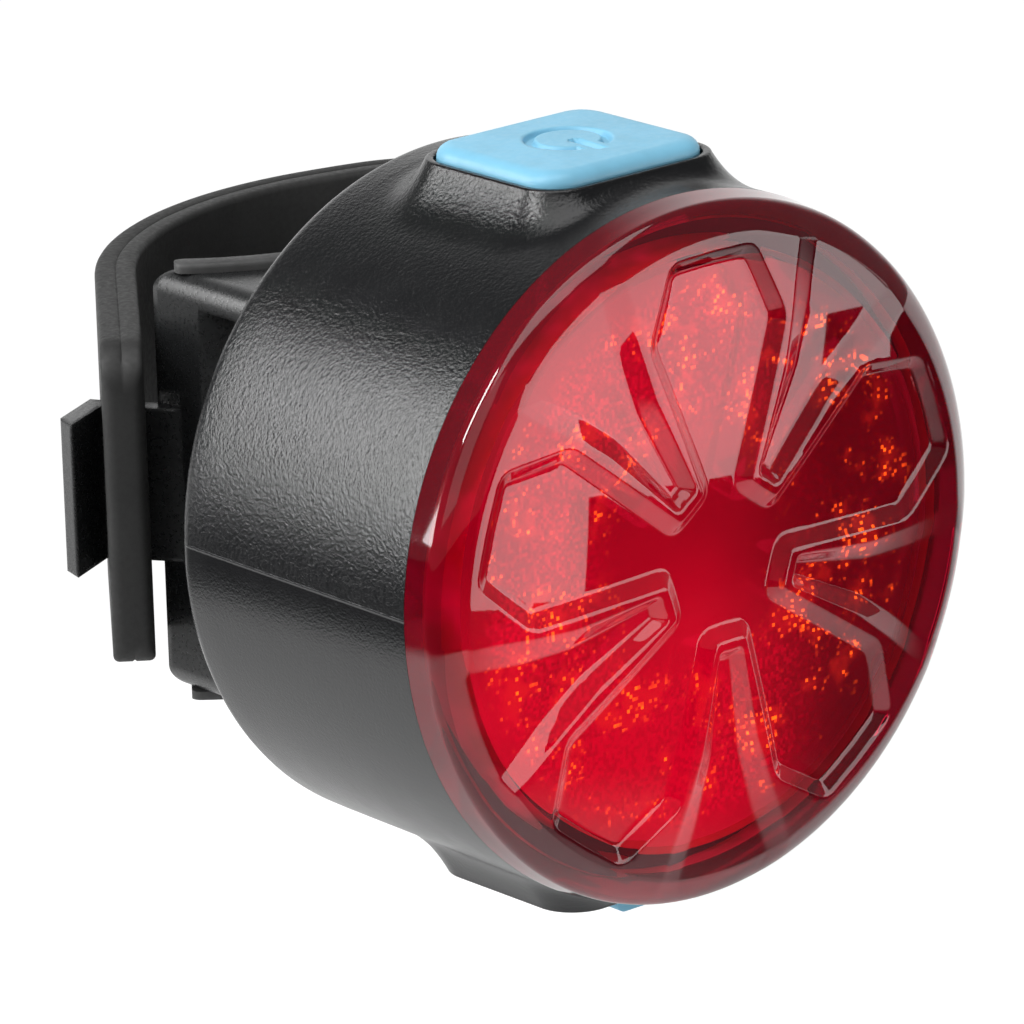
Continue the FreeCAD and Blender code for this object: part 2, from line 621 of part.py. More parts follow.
def battery_leads():
    """Two leads from the cell's lower end forward to the board."""
    shapes = []
    for x in (-LEAD_X, LEAD_X):
        start = V(x, FRONT + BATTERY_FRONT + LEAD_EXIT, BATTERY_LOW_Z)
        knee = start + V(0, 0, LEAD_BEND_R - LEAD_DROP)
        centre = knee + V(0, -LEAD_BEND_R, 0)
        slant = LEAD_BEND_R / math.sqrt(2)
        level = centre + V(0, 0, -LEAD_BEND_R)
        end = V(x, FRONT + BOARD_BACK, level.z)
        path = Part.Wire([
            Part.LineSegment(start, knee).toShape(),
            Part.Arc(knee, centre + V(0, slant, -slant), level).toShape(),
            Part.LineSegment(level, end).toShape(),
        ])
        section = Part.Wire(Part.Circle(start, V(0, 0, 1), LEAD_R).toShape())
        shapes.append(path.makePipeShell([section], True, True))
    return Part.makeCompound(shapes)


def rear_cover():
    """Disc that closes the housing, with a groove for its seal and seats for the screws."""
    radius = HOUSING_BORE_R - COVER_GAP
    disc = rod(radius, COVER_FRONT, HOUSING_DEPTH)
    groove = ring(HOUSING_BORE_R, HOUSING_BORE_R - SEAL_DEEP, SEAL_DEPTH, SEAL_DEPTH + SEAL_W)
    cutters = [groove]
    for x, z in screw_places():
        cutters.append(rod(SCREW_R, COVER_FRONT, HOUSING_DEPTH, x, z))
        cutters.append(rod(HEAD_R + HEAD_CLEAR, HOUSING_DEPTH - HEAD_T, HOUSING_DEPTH, x, z))
    for z in (-BRACKET_SCREW_Z, BRACKET_SCREW_Z):
        cutters.append(rod(BRACKET_SCREW_R, COVER_FRONT, HOUSING_DEPTH, 0, z))
    return disc.cut(Part.makeCompound(cutters))


def cover_seal():
    """Rubber ring in the rear cover's groove."""
    return ring(HOUSING_BORE_R, HOUSING_BORE_R - SEAL_DEEP, SEAL_DEPTH, SEAL_DEPTH + SEAL_W)


def bracket_screw_seat():
    """Depth of the seat under the bracket screws' heads."""
    return HOUSING_DEPTH + WEB_T - BRACKET_HEAD_SINK - BRACKET_HEAD_T


def bracket_screws():
    """Two screws through the saddle into the rear cover."""
    shapes = []
    seat = bracket_screw_seat()
    for z in (-BRACKET_SCREW_Z, BRACKET_SCREW_Z):
        head = rod(BRACKET_HEAD_R, seat, seat + BRACKET_HEAD_T, 0, z)
        shank = rod(BRACKET_SCREW_R, seat - BRACKET_SCREW_LEN, seat, 0, z)
        socket = rod(BRACKET_HEAD_R * 0.4, seat + BRACKET_HEAD_T / 2, seat + BRACKET_HEAD_T, 0, z)
        shapes.append(join([head, shank]).cut(socket))
    return Part.makeCompound(shapes)


def strap_axes():
    """Free end of the strap's middle line, and its directions along and outward."""
    turn = math.radians(STRAP_HEADING)
    along, outward = V(math.cos(turn), math.sin(turn), 0), V(-math.sin(turn), math.cos(turn), 0)
    corner = V(-BRACKET_HALF_W, HORN_TIP_Y, 0)
    start = corner - along * STRAP_TAIL + outward * (STRAP_CORNER_GAP + STRAP_T / 2)
    return start, along, outward


def strap_route():
    """The strap's middle line as straights and clockwise arcs: (start, heading, radius, length or turn)."""
    point, along, outward = strap_axes()
    heading = math.radians(STRAP_HEADING)
    pieces = [(point, heading, None, STRAP_STRAIGHT)]
    point = point + along * STRAP_STRAIGHT
    for radius, turn in ((STRAP_BEND_R, STRAP_BEND_ANGLE), (STRAP_BACK_R, STRAP_BACK_ANGLE)):
        pieces.append((point, heading, radius, math.radians(turn)))
        point, heading = arc_end(point, heading, radius, math.radians(turn))
    centre = point + V(math.sin(heading), -math.cos(heading), 0) * STRAP_TURN_R
    to_pin = V(PIN_X, PIN_Y, 0) - centre
    toward = math.atan2(to_pin.y, to_pin.x) - math.pi / 2 + math.acos(STRAP_TURN_R / to_pin.Length)
    turn = (heading - toward) % (2 * math.pi)
    pieces.append((point, heading, STRAP_TURN_R, turn))
    point, heading = arc_end(point, heading, STRAP_TURN_R, turn)
    pieces.append((point, heading, None, (V(PIN_X, PIN_Y, 0) - point).Length))
    return pieces


def arc_end(point, heading, radius, turn):
    """Where a clockwise arc ends, and its heading there."""
    centre = point + V(math.sin(heading), -math.cos(heading), 0) * radius
    heading -= turn
    return centre + V(-math.sin(heading), math.cos(heading), 0) * radius, heading


def strap_side(offset):
    """Edges of the strap's outline at an offset outward from its middle line."""
    edges = []
    for point, heading, radius, extent in strap_route():
        outward = V(-math.sin(heading), math.cos(heading), 0)
        start = point + outward * offset
        if radius is None:
            end = start + V(math.cos(heading), math.sin(heading), 0) * extent
            edges.append(Part.LineSegment(start, end).toShape())
            continue
        wide = radius + offset
        centre = point - outward * radius
        spokes = [V(-math.sin(heading - extent * f), math.cos(heading - extent * f), 0) for f in (0, 0.5, 1)]
        edges.append(Part.Arc(*[centre + spoke * wide for spoke in spokes]).toShape())
    return edges


def strap():
    """Rubber strap: a bent band with a slot at its free end and an eye at the other."""
    outer, inner = strap_side(STRAP_T / 2), strap_side(-STRAP_T / 2)
    free_end = Part.LineSegment(inner[0].Vertexes[0].Point, outer[0].Vertexes[0].Point).toShape()
    eye_end = Part.LineSegment(outer[-1].Vertexes[-1].Point, inner[-1].Vertexes[-1].Point).toShape()
    outline = Part.Wire(Part.__sortEdges__([free_end] + outer + [eye_end] + inner))
    face = Part.Face(outline)
    face.translate(V(0, 0, -STRAP_HALF_W))
    band = face.extrude(V(0, 0, 2 * STRAP_HALF_W))
    start, along, outward = strap_axes()
    for sign, radius in ((1, STRAP_TOP_CORNER_R), (-1, STRAP_LOW_CORNER_R)):
        corner = start + V(0, 0, sign * STRAP_HALF_W)
        band = rounded(band, radius, lambda edge: edge.CenterOfMass.distanceToPoint(corner) < 1e-3)
    eye = upright(EYE_R, -STRAP_HALF_W, STRAP_HALF_W, PIN_X, PIN_Y)
    band = join([band, eye])
    bore = upright(PIN_R + EYE_PLAY, -STRAP_HALF_W, STRAP_HALF_W, PIN_X, PIN_Y)
    lean = (HOOK_FRONT - HOOK_ROOT) / (HOOK_ROOT_IN + STRAP_T / 2 + HOOK_LIFT)
    slot_front = HOOK_FRONT - lean * (STRAP_T + HOOK_LIFT) - SLOT_GAP
    slot_back = HOOK_BACK + SLOT_GAP
    slot = strap_prism([
        (slot_front, -STRAP_T),
        (slot_back, -STRAP_T),
        (slot_back, STRAP_T),
        (slot_front, STRAP_T),
    ], HOOK_HALF_H + SLOT_GAP)
    return band.cut(Part.makeCompound([bore, slot]))


def strap_prism(corners, half_height):
    """Upright prism from corners given along and outward in the strap's directions."""
    start, along, outward = strap_axes()
    points = [start + along * t + outward * n + V(0, 0, -half_height) for t, n in corners]
    return Part.Face(Part.makePolygon(points + points[:1])).extrude(V(0, 0, 2 * half_height))


def hook():
    """Arm through the strap's slot, with a head that leans over the strap's free end."""
    face = STRAP_T / 2 + HOOK_LIFT
    tip = face + HOOK_RISE
    return strap_prism([
        (HOOK_ROOT, -HOOK_ROOT_IN),
        (HOOK_FRONT, face),
        (HOOK_TIP, tip),
        (HOOK_TIP + HOOK_TIP_L, tip + HOOK_TIP_H),
        (HOOK_BACK, face + HOOK_HEEL),
        (HOOK_BACK, -STRAP_T / 2),
        (HOOK_FRONT, -HOOK_ROOT_IN),
    ], HOOK_HALF_H)


def bracket():
    """Saddle block behind the housing, with the hook on its left and the pin's ears on its right."""
    block = box(
        -BRACKET_HALF_W, BRACKET_HALF_W, HOUSING_DEPTH, HORN_TIP_Y - FRONT, -BRACKET_HALF_H, BRACKET_HALF_H
    )
    block = rounded(block, BRACKET_EDGE_R, lambda edge: runs_along(edge, V(0, 1, 0)))
    tall = BRACKET_HALF_H + 1
    liner_room = upright(SADDLE_R, -tall, tall, 0, 0).common(
        Part.makeBox(2 * PAD_HALF_W, SADDLE_R, 2 * tall, V(-PAD_HALF_W, -SADDLE_R, -tall))
    )
    cutters = [liner_room, upright(HORN_R, -tall, tall, 0, 0)]
    behind = upright(SADDLE_R + POCKET_WALL, -tall, tall, 0, 0)
    floor_depth = HOUSING_DEPTH + POCKET_FLOOR
    for low_x in (-BRACKET_HALF_W - 1, BRACKET_HALF_W - POCKET_DEPTH):
        high_x = low_x + POCKET_DEPTH + 1
        pocket = box(low_x, high_x, floor_depth, -FRONT, POCKET_BOTTOM, POCKET_TOP)
        cutters.append(pocket.cut(behind))
    seat = bracket_screw_seat()
    for z in (-BRACKET_SCREW_Z, BRACKET_SCREW_Z):
        cutters.append(rod(BRACKET_SCREW_R, HOUSING_DEPTH, seat, 0, z))
        cutters.append(rod(BRACKET_HEAD_R + HEAD_CLEAR, seat, -FRONT, 0, z))
    ears = []
    for low_z in (EAR_LOW_Z, -BRACKET_HALF_H):
        ear_h = BRACKET_HALF_H - EAR_LOW_Z
        ears.append(upright(EAR_R, low_z, low_z + ear_h, PIN_X, PIN_Y))
        reach = Part.makeBox(PIN_X - BRACKET_HALF_W + 1, 2 * EAR_R, ear_h, V(BRACKET_HALF_W - 1, PIN_Y - EAR_R, low_z))
        ears.append(reach.cut(upright(HORN_R, -tall, tall, 0, 0)))
    hook_arm = hook().cut(Part.makeCompound(cutters[:2]))
    pin_bore = upright(PIN_R, -tall, tall, PIN_X, PIN_Y)
    return join([block.cut(Part.makeCompound(cutters)), hook_arm] + ears).cut(pin_bore)


def bracket_pad():
    """Rubber liner of the saddle, with a lip over the bracket's upper and lower ends."""
    post = upright(SEAT_R, -BRACKET_HALF_H - 2, BRACKET_HALF_H + 2, 0, 0)
    liner = upright(SADDLE_R, -BRACKET_HALF_H, BRACKET_HALF_H, 0, 0).common(
        Part.makeBox(2 * PAD_HALF_W, SADDLE_R, 2 * BRACKET_HALF_H, V(-PAD_HALF_W, -SADDLE_R, -BRACKET_HALF_H))
    )
    lip = upright(SEAT_R + PAD_LIP_W, BRACKET_HALF_H, BRACKET_HALF_H + PAD_LIP_T, 0, 0).common(
        Part.makeBox(2 * PAD_LIP_HALF_W, 2 * SEAT_R, 3 * PAD_LIP_T, V(-PAD_LIP_HALF_W, -2 * SEAT_R, BRACKET_HALF_H))
    )
    keep = Part.makeBox(4 * SEAT_R, 2 * SEAT_R, 4 * SEAT_R, V(-2 * SEAT_R, -2 * SEAT_R, -2 * SEAT_R))
    return join([liner, lip, below(lip)]).cut(post).common(keep)


def strap_pin():
    """Steel pin through the ears and the strap's eye, with a low head on top."""
    shank = upright(PIN_R, -BRACKET_HALF_H, BRACKET_HALF_H, PIN_X, PIN_Y)
    head = upright(PIN_HEAD_R, BRACKET_HALF_H, BRACKET_HALF_H + PIN_HEAD_T, PIN_X, PIN_Y)
    return join([shank, head])


def nodes():
    """Every piece by its node name."""
    skirt_r = HOUSING_BORE_R - SKIRT_GAP
    cover_seat = HOUSING_DEPTH - HEAD_T
    return {
        "lens": lens(),
        "lens_gasket": ring(skirt_r, skirt_r - SKIRT_T, GASKET_DEPTH, SHOULDER_DEPTH),
        "prism_panel": rod(PANEL_R, PANEL_BACK - PANEL_T, PANEL_BACK),
        "reflector": reflector(),
        "leds": leds(),
        "circuit_board": circuit_board(),
        "board_parts": board_parts(),
        "board_screws": screws(screw_places(), BOARD_DEPTH, BOARD_SCREW_LEN, True),
        "switch_body": switch_body(),
        "switch_plunger": switch_plunger(),
        "usb_socket": usb_socket(),
        "usb_tongue": usb_tongue(),
        "battery": battery(),
        "battery_tape": battery_tape(),
        "battery_leads": battery_leads(),
        "housing": housing(),
        "rear_cover": rear_cover(),
        "cover_seal": cover_seal(),
        "cover_screws": screws(screw_places(), cover_seat, COVER_SCREW_LEN, False),
        "power_button": power_button(),
        "usb_cover": usb_cover(),
        "bracket": bracket(),
        "bracket_pad": bracket_pad(),
        "bracket_screws": bracket_screws(),
        "strap": strap(),
        "strap_pin": strap_pin(),
    }


os.makedirs("parts", exist_ok=True)
for name, shape in nodes().items():
    shape.exportStep("parts/" + name + ".step")
    bounds = shape.BoundBox
    print(name, len(shape.Solids), shape.isValid(), round(shape.Volume, 1), bounds)
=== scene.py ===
"""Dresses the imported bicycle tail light: its lens, housing, key, strap and stage, and the camera."""

import math

import bmesh
import bpy
import numpy as np
from bpy.props import FloatProperty, FloatVectorProperty, PointerProperty
from mathutils import Matrix, Vector


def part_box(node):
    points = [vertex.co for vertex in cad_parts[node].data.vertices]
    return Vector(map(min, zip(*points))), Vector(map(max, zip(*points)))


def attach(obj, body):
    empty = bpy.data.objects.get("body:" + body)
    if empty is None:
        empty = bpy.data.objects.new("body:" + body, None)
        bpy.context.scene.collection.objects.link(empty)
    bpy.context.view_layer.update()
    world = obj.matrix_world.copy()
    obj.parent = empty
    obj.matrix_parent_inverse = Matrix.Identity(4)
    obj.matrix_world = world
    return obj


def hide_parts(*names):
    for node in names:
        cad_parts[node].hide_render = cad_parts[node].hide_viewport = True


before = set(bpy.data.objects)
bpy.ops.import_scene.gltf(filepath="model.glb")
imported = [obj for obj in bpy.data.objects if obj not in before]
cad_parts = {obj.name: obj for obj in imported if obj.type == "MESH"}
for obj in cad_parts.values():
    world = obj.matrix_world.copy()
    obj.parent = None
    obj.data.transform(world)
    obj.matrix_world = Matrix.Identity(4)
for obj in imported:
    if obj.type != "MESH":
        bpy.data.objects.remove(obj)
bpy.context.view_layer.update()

bl_info = {
    "name": "Bicycle tail light",
    "version": (1, 0, 0),
    "blender": (4, 5, 0),
    "location": "3D View > Sidebar > Tail light",
    "description": "Builds the visible pieces of a seat post tail light over its packed solids",
    "category": "Object",
}

MM = 0.001
# Lengths are in millimetres. Depths run along +Y from the joint between lens and housing, and the lens's
# heights run the other way from there.
JOINT_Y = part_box("housing")[0][1] / MM
HOUSING_DEPTH = 19.8
HOUSING_R = 20.0
HOUSING_REAR_R = 19.7
HOUSING_BORE_R = 18.2
BOSS_DEPTH = 8.64
BOSS_HALF_W = 6.6
BOSS_HALF_L = 6.1
BOSS_CORNER_R = 2.6
BOSS_RIM_Z = 20.75
INNER_FLAT_Z = 16.9
KEY_HALF_W = 5.95
KEY_HALF_L = 5.42
KEY_CORNER_R = 2.0
KEY_TOP_Z = 21.6
PETALS = 5
HALF_PITCH = 36.0


class TailLightSizes(bpy.types.PropertyGroup):
    """Sizes that change how the pieces look."""

    relief_wall: FloatProperty(
        name="Petal wall", description="Run of the slanted walls round the petals",
        default=0.85 * MM, unit="LENGTH",
    )
    lens_rise: FloatProperty(
        name="Lens rise", description="Height of the lens's ribs at the middle, from the joint with the housing",
        default=3.95 * MM, unit="LENGTH",
    )
    lens_floor: FloatProperty(
        name="Petal floor", description="Height of the petals' floor at the middle, from the joint with the housing",
        default=3.3 * MM, unit="LENGTH",
    )
    boss_flare: FloatProperty(
        name="Boss flare", description="How far the hollow foot of a boss spreads sideways",
        default=3.1 * MM, unit="LENGTH",
    )
    key_edge: FloatProperty(
        name="Key edge", description="Rounding of the key's upper edge",
        default=0.75 * MM, unit="LENGTH",
    )
    strap_edge: FloatProperty(
        name="Strap edge", description="Rounding of the strap's long edges",
        default=0.35 * MM, unit="LENGTH",
    )
    prism_pitch: FloatProperty(
        name="Prism pitch", description="Distance from one prism of the panel to the next",
        default=0.2 * MM, unit="LENGTH",
    )


class TailLightColours(bpy.types.PropertyGroup):
    """Colours of the light's finishes."""

    lens: FloatVectorProperty(
        name="Lens", description="Red of the lens", size=4, subtype="COLOR",
        default=(0.80, 0.008, 0.05, 1.0),
    )
    housing: FloatVectorProperty(
        name="Housing", description="Black of the housing", size=4, subtype="COLOR",
        default=(0.0045, 0.0048, 0.0054, 1.0),
    )
    silicone: FloatVectorProperty(
        name="Silicone", description="Light blue of the key and the port cover", size=4, subtype="COLOR",
        default=(0.205, 0.51, 0.70, 1.0),
    )
    strap: FloatVectorProperty(
        name="Strap", description="Dark grey of the strap", size=4, subtype="COLOR",
        default=(0.017, 0.017, 0.0167, 1.0),
    )
    bracket: FloatVectorProperty(
        name="Bracket", description="Dark grey of the bracket", size=4, subtype="COLOR",
        default=(0.011, 0.0115, 0.012, 1.0),
    )
    floor: FloatVectorProperty(
        name="Floor", description="Colour of the floor", size=4, subtype="COLOR",
        default=(0.86, 0.86, 0.86, 1.0),
    )


# ---- meshes ----

def grid_faces(rows, columns):
    """Quads between neighbouring rows and columns of a grid of points, the last column joined to the first."""
    row = np.arange(rows - 1)[:, None] * columns
    column = np.arange(columns)[None, :]
    after = (column + 1) % columns
    quads = np.stack([row + column, row + after, row + columns + after, row + columns + column], axis=-1)
    return quads.reshape(-1, 4)


def piece(name, parts, material, body, stands_for, crease):
    """One object from grids of points in millimetres, merged where they meet, with its normals outwards."""
    points, faces, count = [], [], 0
    for grid, quads in parts:
        flat = np.asarray(grid, float).reshape(-1, 3)
        points.append(flat)
        faces.append(np.asarray(quads) + count)
        count += len(flat)
    mesh = bpy.data.meshes.new(name)
    mesh.from_pydata((np.concatenate(points) * MM).tolist(), [], np.concatenate(faces).tolist())
    edit = bmesh.new()
    edit.from_mesh(mesh)
    bmesh.ops.remove_doubles(edit, verts=edit.verts, dist=2e-7)
    bmesh.ops.recalc_face_normals(edit, faces=edit.faces)
    edit.to_mesh(mesh)
    edit.free()
    if not mesh.polygons:
        raise RuntimeError(name + " has no faces")
    mesh.polygons.foreach_set("use_smooth", np.ones(len(mesh.polygons), bool))
    mesh.set_sharp_from_angle(angle=math.radians(crease))
    mesh.materials.append(material)
    made = bpy.data.objects.new(name, mesh)
    bpy.context.scene.collection.objects.link(made)
    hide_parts(*stands_for)
    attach(made, body)
    return made


def pairs(first, second):
    """Rows of two numbers, either of which may be the same in every row."""
    return np.stack(np.broadcast_arrays(first, second), axis=-1)


def soft_step(distance, width, fillet):
    """0 to 1 over a width about distance 0: a straight slope with a parabola of the fillet's length at each end."""
    def bent(x):
        """0, then a parabola, then x."""
        middle = (x + fillet / 2) ** 2 / (2 * fillet)
        return np.where(x < -fillet / 2, 0.0, np.where(x > fillet / 2, x, middle))
    return (bent(distance + width / 2) - bent(distance - width / 2)) / width


def rounded_line(corners, radius):
    """Open line whose inner corners are cut by quadratic curves that start a radius away from them."""
    corners = np.asarray(corners, float)
    line = [corners[:1]]
    blend = np.linspace(0, 1, 5)[:, None]
    for before, corner, after in zip(corners[:-2], corners[1:-1], corners[2:]):
        start = corner + (before - corner) * min(0.45, radius / np.linalg.norm(before - corner))
        end = corner + (after - corner) * min(0.45, radius / np.linalg.norm(after - corner))
        line.append(start * (1 - blend) ** 2 + corner * 2 * blend * (1 - blend) + end * blend ** 2)
    line.append(corners[-1:])
    return np.concatenate(line)


def distance_to_line(points, line):
    """Shortest distance from each point to a line of straight runs."""
    best = np.full(points.shape[:-1], np.inf)
    for start, end in zip(line[:-1], line[1:]):
        run = end - start
        along = np.clip(((points - start) @ run) / (run @ run), 0, 1)
        gap = np.linalg.norm(points - start - along[..., None] * run, axis=-1)
        best = np.minimum(best, gap)
    return best


def inside_outline(points, outline):
    """True where a point lies in a closed outline, by counting the edges it sees towards +u."""
    inside = np.zeros(points.shape[:-1], bool)
    u, v = points[..., 0], points[..., 1]
    for start, end in zip(outline, np.roll(outline, -1, axis=0)):
        crosses = (start[1] > v) != (end[1] > v)
        rise = end[1] - start[1] if end[1] != start[1] else 1e-12
        inside ^= crosses & (u < (end[0] - start[0]) * (v - start[1]) / rise + start[0])
    return inside


def polar(radius, degrees):
    """Point at a radius and an angle from a petal's middle."""
    turn = math.radians(degrees)
    return [radius * math.cos(turn), radius * math.sin(turn)]


# The face of the lens: angles run from a petal's middle, +u, to the middle of the wedge beside it.
FACE_R = 18.0
SCALLOP = 0.2
RIB_FALL = 0.0028
FLOOR_FALL = 0.0026
WEDGE_FALL = 0.0045
WEDGE_FALL_FROM = 6.5
PETAL_FILLET = 0.2
WEDGE_FILLET = 0.3
PETAL_LINE = rounded_line(
    [polar(4.05, 36.0), polar(4.33, 17.2), polar(13.75, 19.6), polar(17.15, 9.6), [17.0, 0.0]], 0.55
)
WEDGE_RADII = [5.12, 11.0, 14.0, 16.4, 21.0]
WEDGE_ANGLES = [26.8, 25.2, 23.0, 21.4, 20.0]
WEDGE_LINE = rounded_line(
    [polar(5.1, 36.0)] + [polar(r, a) for r, a in zip(WEDGE_RADII, WEDGE_ANGLES)] + [polar(21.0, 36.0)], 0.4
)
# Width of the wedges' walls at a radius.
RUN_RADII = [5.1, 9.0, 12.0, 15.0, 16.5]
RUN_WIDTHS = [0.5, 0.9, 1.2, 1.45, 1.5]
# The outlines close round the hub and past the wedge's middle, away from the rays that the columns lie on.
HUB_SIDE = np.array([[17.0, -1.0], [-1.0, -1.0], [-1.0, 4.0], polar(4.05, 60.0)])
FAR_SIDE = np.array([polar(21.0, 42.0), polar(5.0, 48.0)])
# The columns follow the petals' outline, and go on inwards and outwards from it.
COLUMN_RADII = [0, 2.5, 4.3, 13.7, 17.1, 18.2, 20]
COLUMN_ANGLES = [14, 16, 17.2, 19.6, 9.6, 9.6, 14]


def fold(angle):
    """Angle from the nearest petal's middle, whichever side."""
    return np.abs((angle + HALF_PITCH) % (2 * HALF_PITCH) - HALF_PITCH)


def lens_relief(radius, angle, wall):
    """How deep the face lies between ribs, 0, and petal floor, 1.

    The angle is folded into half a petal. Inside the petals' outline the depth rises to 1 over the wall's run,
    by distance from the outline; inside a wedge's outline it does the same over a run that widens outwards.
    The wedge's floor climbs with the square of the radius beyond 6.5 mm and runs out into the face's edge.
    """
    turn = np.radians(fold(angle))
    points = np.stack([radius * np.cos(turn), radius * np.sin(turn)], axis=-1)

    def gap(line, rest):
        """Distance from a line, negative outside the outline that the rest closes."""
        away = distance_to_line(points, line)
        return np.where(inside_outline(points, np.concatenate([line, rest])), away, -away)

    petal = soft_step(gap(PETAL_LINE, HUB_SIDE), wall, PETAL_FILLET)
    run = np.interp(radius, RUN_RADII, RUN_WIDTHS)
    climb = 1 - WEDGE_FALL * np.maximum(radius - WEDGE_FALL_FROM, 0) ** 2
    wedge = soft_step(gap(WEDGE_LINE, FAR_SIDE) - run / 2, run, WEDGE_FILLET) * climb
    return np.maximum(petal, wedge)


def lens_rows():
    """Radii of the face's rows, close together where walls run across them."""
    spans = ((0.0, 3.3, 8), (3.3, 6.0, 34), (6.0, 13.0, 36), (13.0, FACE_R, 50))
    return np.concatenate([np.linspace(start, end, count, endpoint=False) for start, end, count in spans])


def lens_columns(radius, wall):
    """Angles of all columns at each radius: they gather along the petals' and the wedges' walls."""
    counts = (9, 14, 6, 16, 6)
    half_wall = np.degrees((wall / 2 + PETAL_FILLET) / np.maximum(radius, 4.3))
    petal = np.interp(radius, COLUMN_RADII, COLUMN_ANGLES)
    wedge = np.interp(radius, WEDGE_RADII, WEDGE_ANGLES)
    held = np.maximum(radius, 5.0)
    fillet = np.degrees(0.2 / held)
    run = np.degrees(np.interp(radius, RUN_RADII, RUN_WIDTHS) / held)
    stops = [
        np.zeros_like(radius), petal - half_wall, petal + half_wall,
        wedge - fillet, np.minimum(wedge + run + fillet, HALF_PITCH - 0.6), np.full_like(radius, HALF_PITCH),
    ]
    for i in (3, 4):
        stops[i] = np.maximum(stops[i], stops[i - 1] + 0.4)
    half = [
        stops[i][:, None] + (stops[i + 1] - stops[i])[:, None] * (np.arange(n) / n)[None, :]
        for i, n in enumerate(counts)
    ]
    half = np.concatenate(half + [np.full((len(radius), 1), HALF_PITCH)], axis=1)
    one = np.concatenate([-half[:, :0:-1], half[:, :-1]], axis=1)
    return np.concatenate([one + 2 * HALF_PITCH * petal for petal in range(PETALS)], axis=1)


def lens_mesh(sizes):
    """Lens as a grid of radius and angle.

    Ribs: height = rise - 0.0028 r^2. Floor: height = floor - 0.0026 r^2. The relief blends the two. The face's
    edge stands 0.2 mm further out at the wedges. Past it the height falls to the rim's side with the square root
    of the distance left, then come the side, the underside, the skirt and the smooth inner face.
    """
    wall, rise, floor = sizes.relief_wall / MM, sizes.lens_rise / MM, sizes.lens_floor / MM
    side_r, side_h, rim_rows = 19.8, 1.49, 17
    rows = lens_rows()
    angle = lens_columns(rows, wall)
    columns = angle.shape[1]

    def face(radius, around):
        """Height of the face at a radius and an angle."""
        rib = rise - RIB_FALL * radius ** 2
        low = floor - FLOOR_FALL * radius ** 2
        return rib + (low - rib) * lens_relief(radius, around, wall)

    edge_r = FACE_R + SCALLOP * soft_step(fold(angle[-1]) - 22.0, 6.0, 3.0)
    outer = np.clip((rows[:, None] - 15) / 3, 0, 1)
    radius = rows[:, None] * (1 + (edge_r / FACE_R - 1)[None, :] * outer)
    step = np.linspace(0, 1, rim_rows)[:, None]
    rim_r = edge_r + (side_r - edge_r) * (1 - (1 - step) ** 2)
    rim_h = side_h + (face(edge_r, angle[-1]) - side_h) * (1 - step)
    foot = np.array([
        (HOUSING_R - 0.1, 0.75), (HOUSING_R, 0.03), (18.1, 0.03), (18.1, -1.6), (16.9, -1.6), (16.9, 0.80),
        (16.4, 0.98), (14.0, 1.19), (10.0, 1.44), (5.0, 1.635), (0.0, 1.7),
    ])
    ones = np.ones(columns)
    all_r = np.concatenate([radius, rim_r, foot[:, :1] * ones])
    all_h = np.concatenate([face(radius, angle), rim_h, foot[:, 1:] * ones])
    even = np.linspace(0, 360, columns, endpoint=False) - HALF_PITCH
    blend = np.concatenate([step, np.ones((len(foot), 1))])
    turn = np.radians(90 + np.concatenate([angle, angle[-1] * (1 - blend) + even * blend]))
    points = np.stack([all_r * np.cos(turn), JOINT_Y - all_h, all_r * np.sin(turn)], axis=-1)
    return points, grid_faces(len(points), columns)


def soft_rectangle(half_w, half_l, corner, per_side=8, per_end=16, per_arc=16):
    """Base points and outward directions round a rectangle with round corners, from its +X side towards +Y.

    A point of the outline at an offset s is its base point plus (corner + s) times its direction.
    """
    core_w, core_l = half_w - corner, half_l - corner
    side, end, arc = (np.arange(count) / count for count in (per_side, per_end, per_arc))
    bases, ways = [], []
    for quarter, (sx, sy) in enumerate(((1, 1), (-1, 1), (-1, -1), (1, -1))):
        x, y = sx * core_w, sy * core_l
        turn = np.radians(90 * quarter + 90 * arc)
        bend = (pairs(x, y + 0 * arc), pairs(np.cos(turn), np.sin(turn)))
        if quarter % 2 == 0:
            runs = [(pairs(x, y * side), pairs(sx, 0 * side)), bend, (pairs(x * (1 - end), y), pairs(0 * end, sy))]
        else:
            runs = [(pairs(x * end, y), pairs(0 * end, sy)), bend, (pairs(x, y * (1 - side)), pairs(sx, 0 * side))]
        bases += [base for base, way in runs]
        ways += [way for base, way in runs]
    return np.concatenate(bases), np.concatenate(ways)


def barrel_radius(depth):
    """Radius of the housing's slightly tapered barrel at a depth."""
    return HOUSING_R + (HOUSING_REAR_R - HOUSING_R) * depth / HOUSING_DEPTH


# The window that the barrel leaves open for a boss: its half width in degrees, columns and rows.
WINDOW_TURN = 31.0
WINDOW_COLUMNS = 48
WINDOW_DEPTHS = np.linspace(0.12, 17.2, 33)


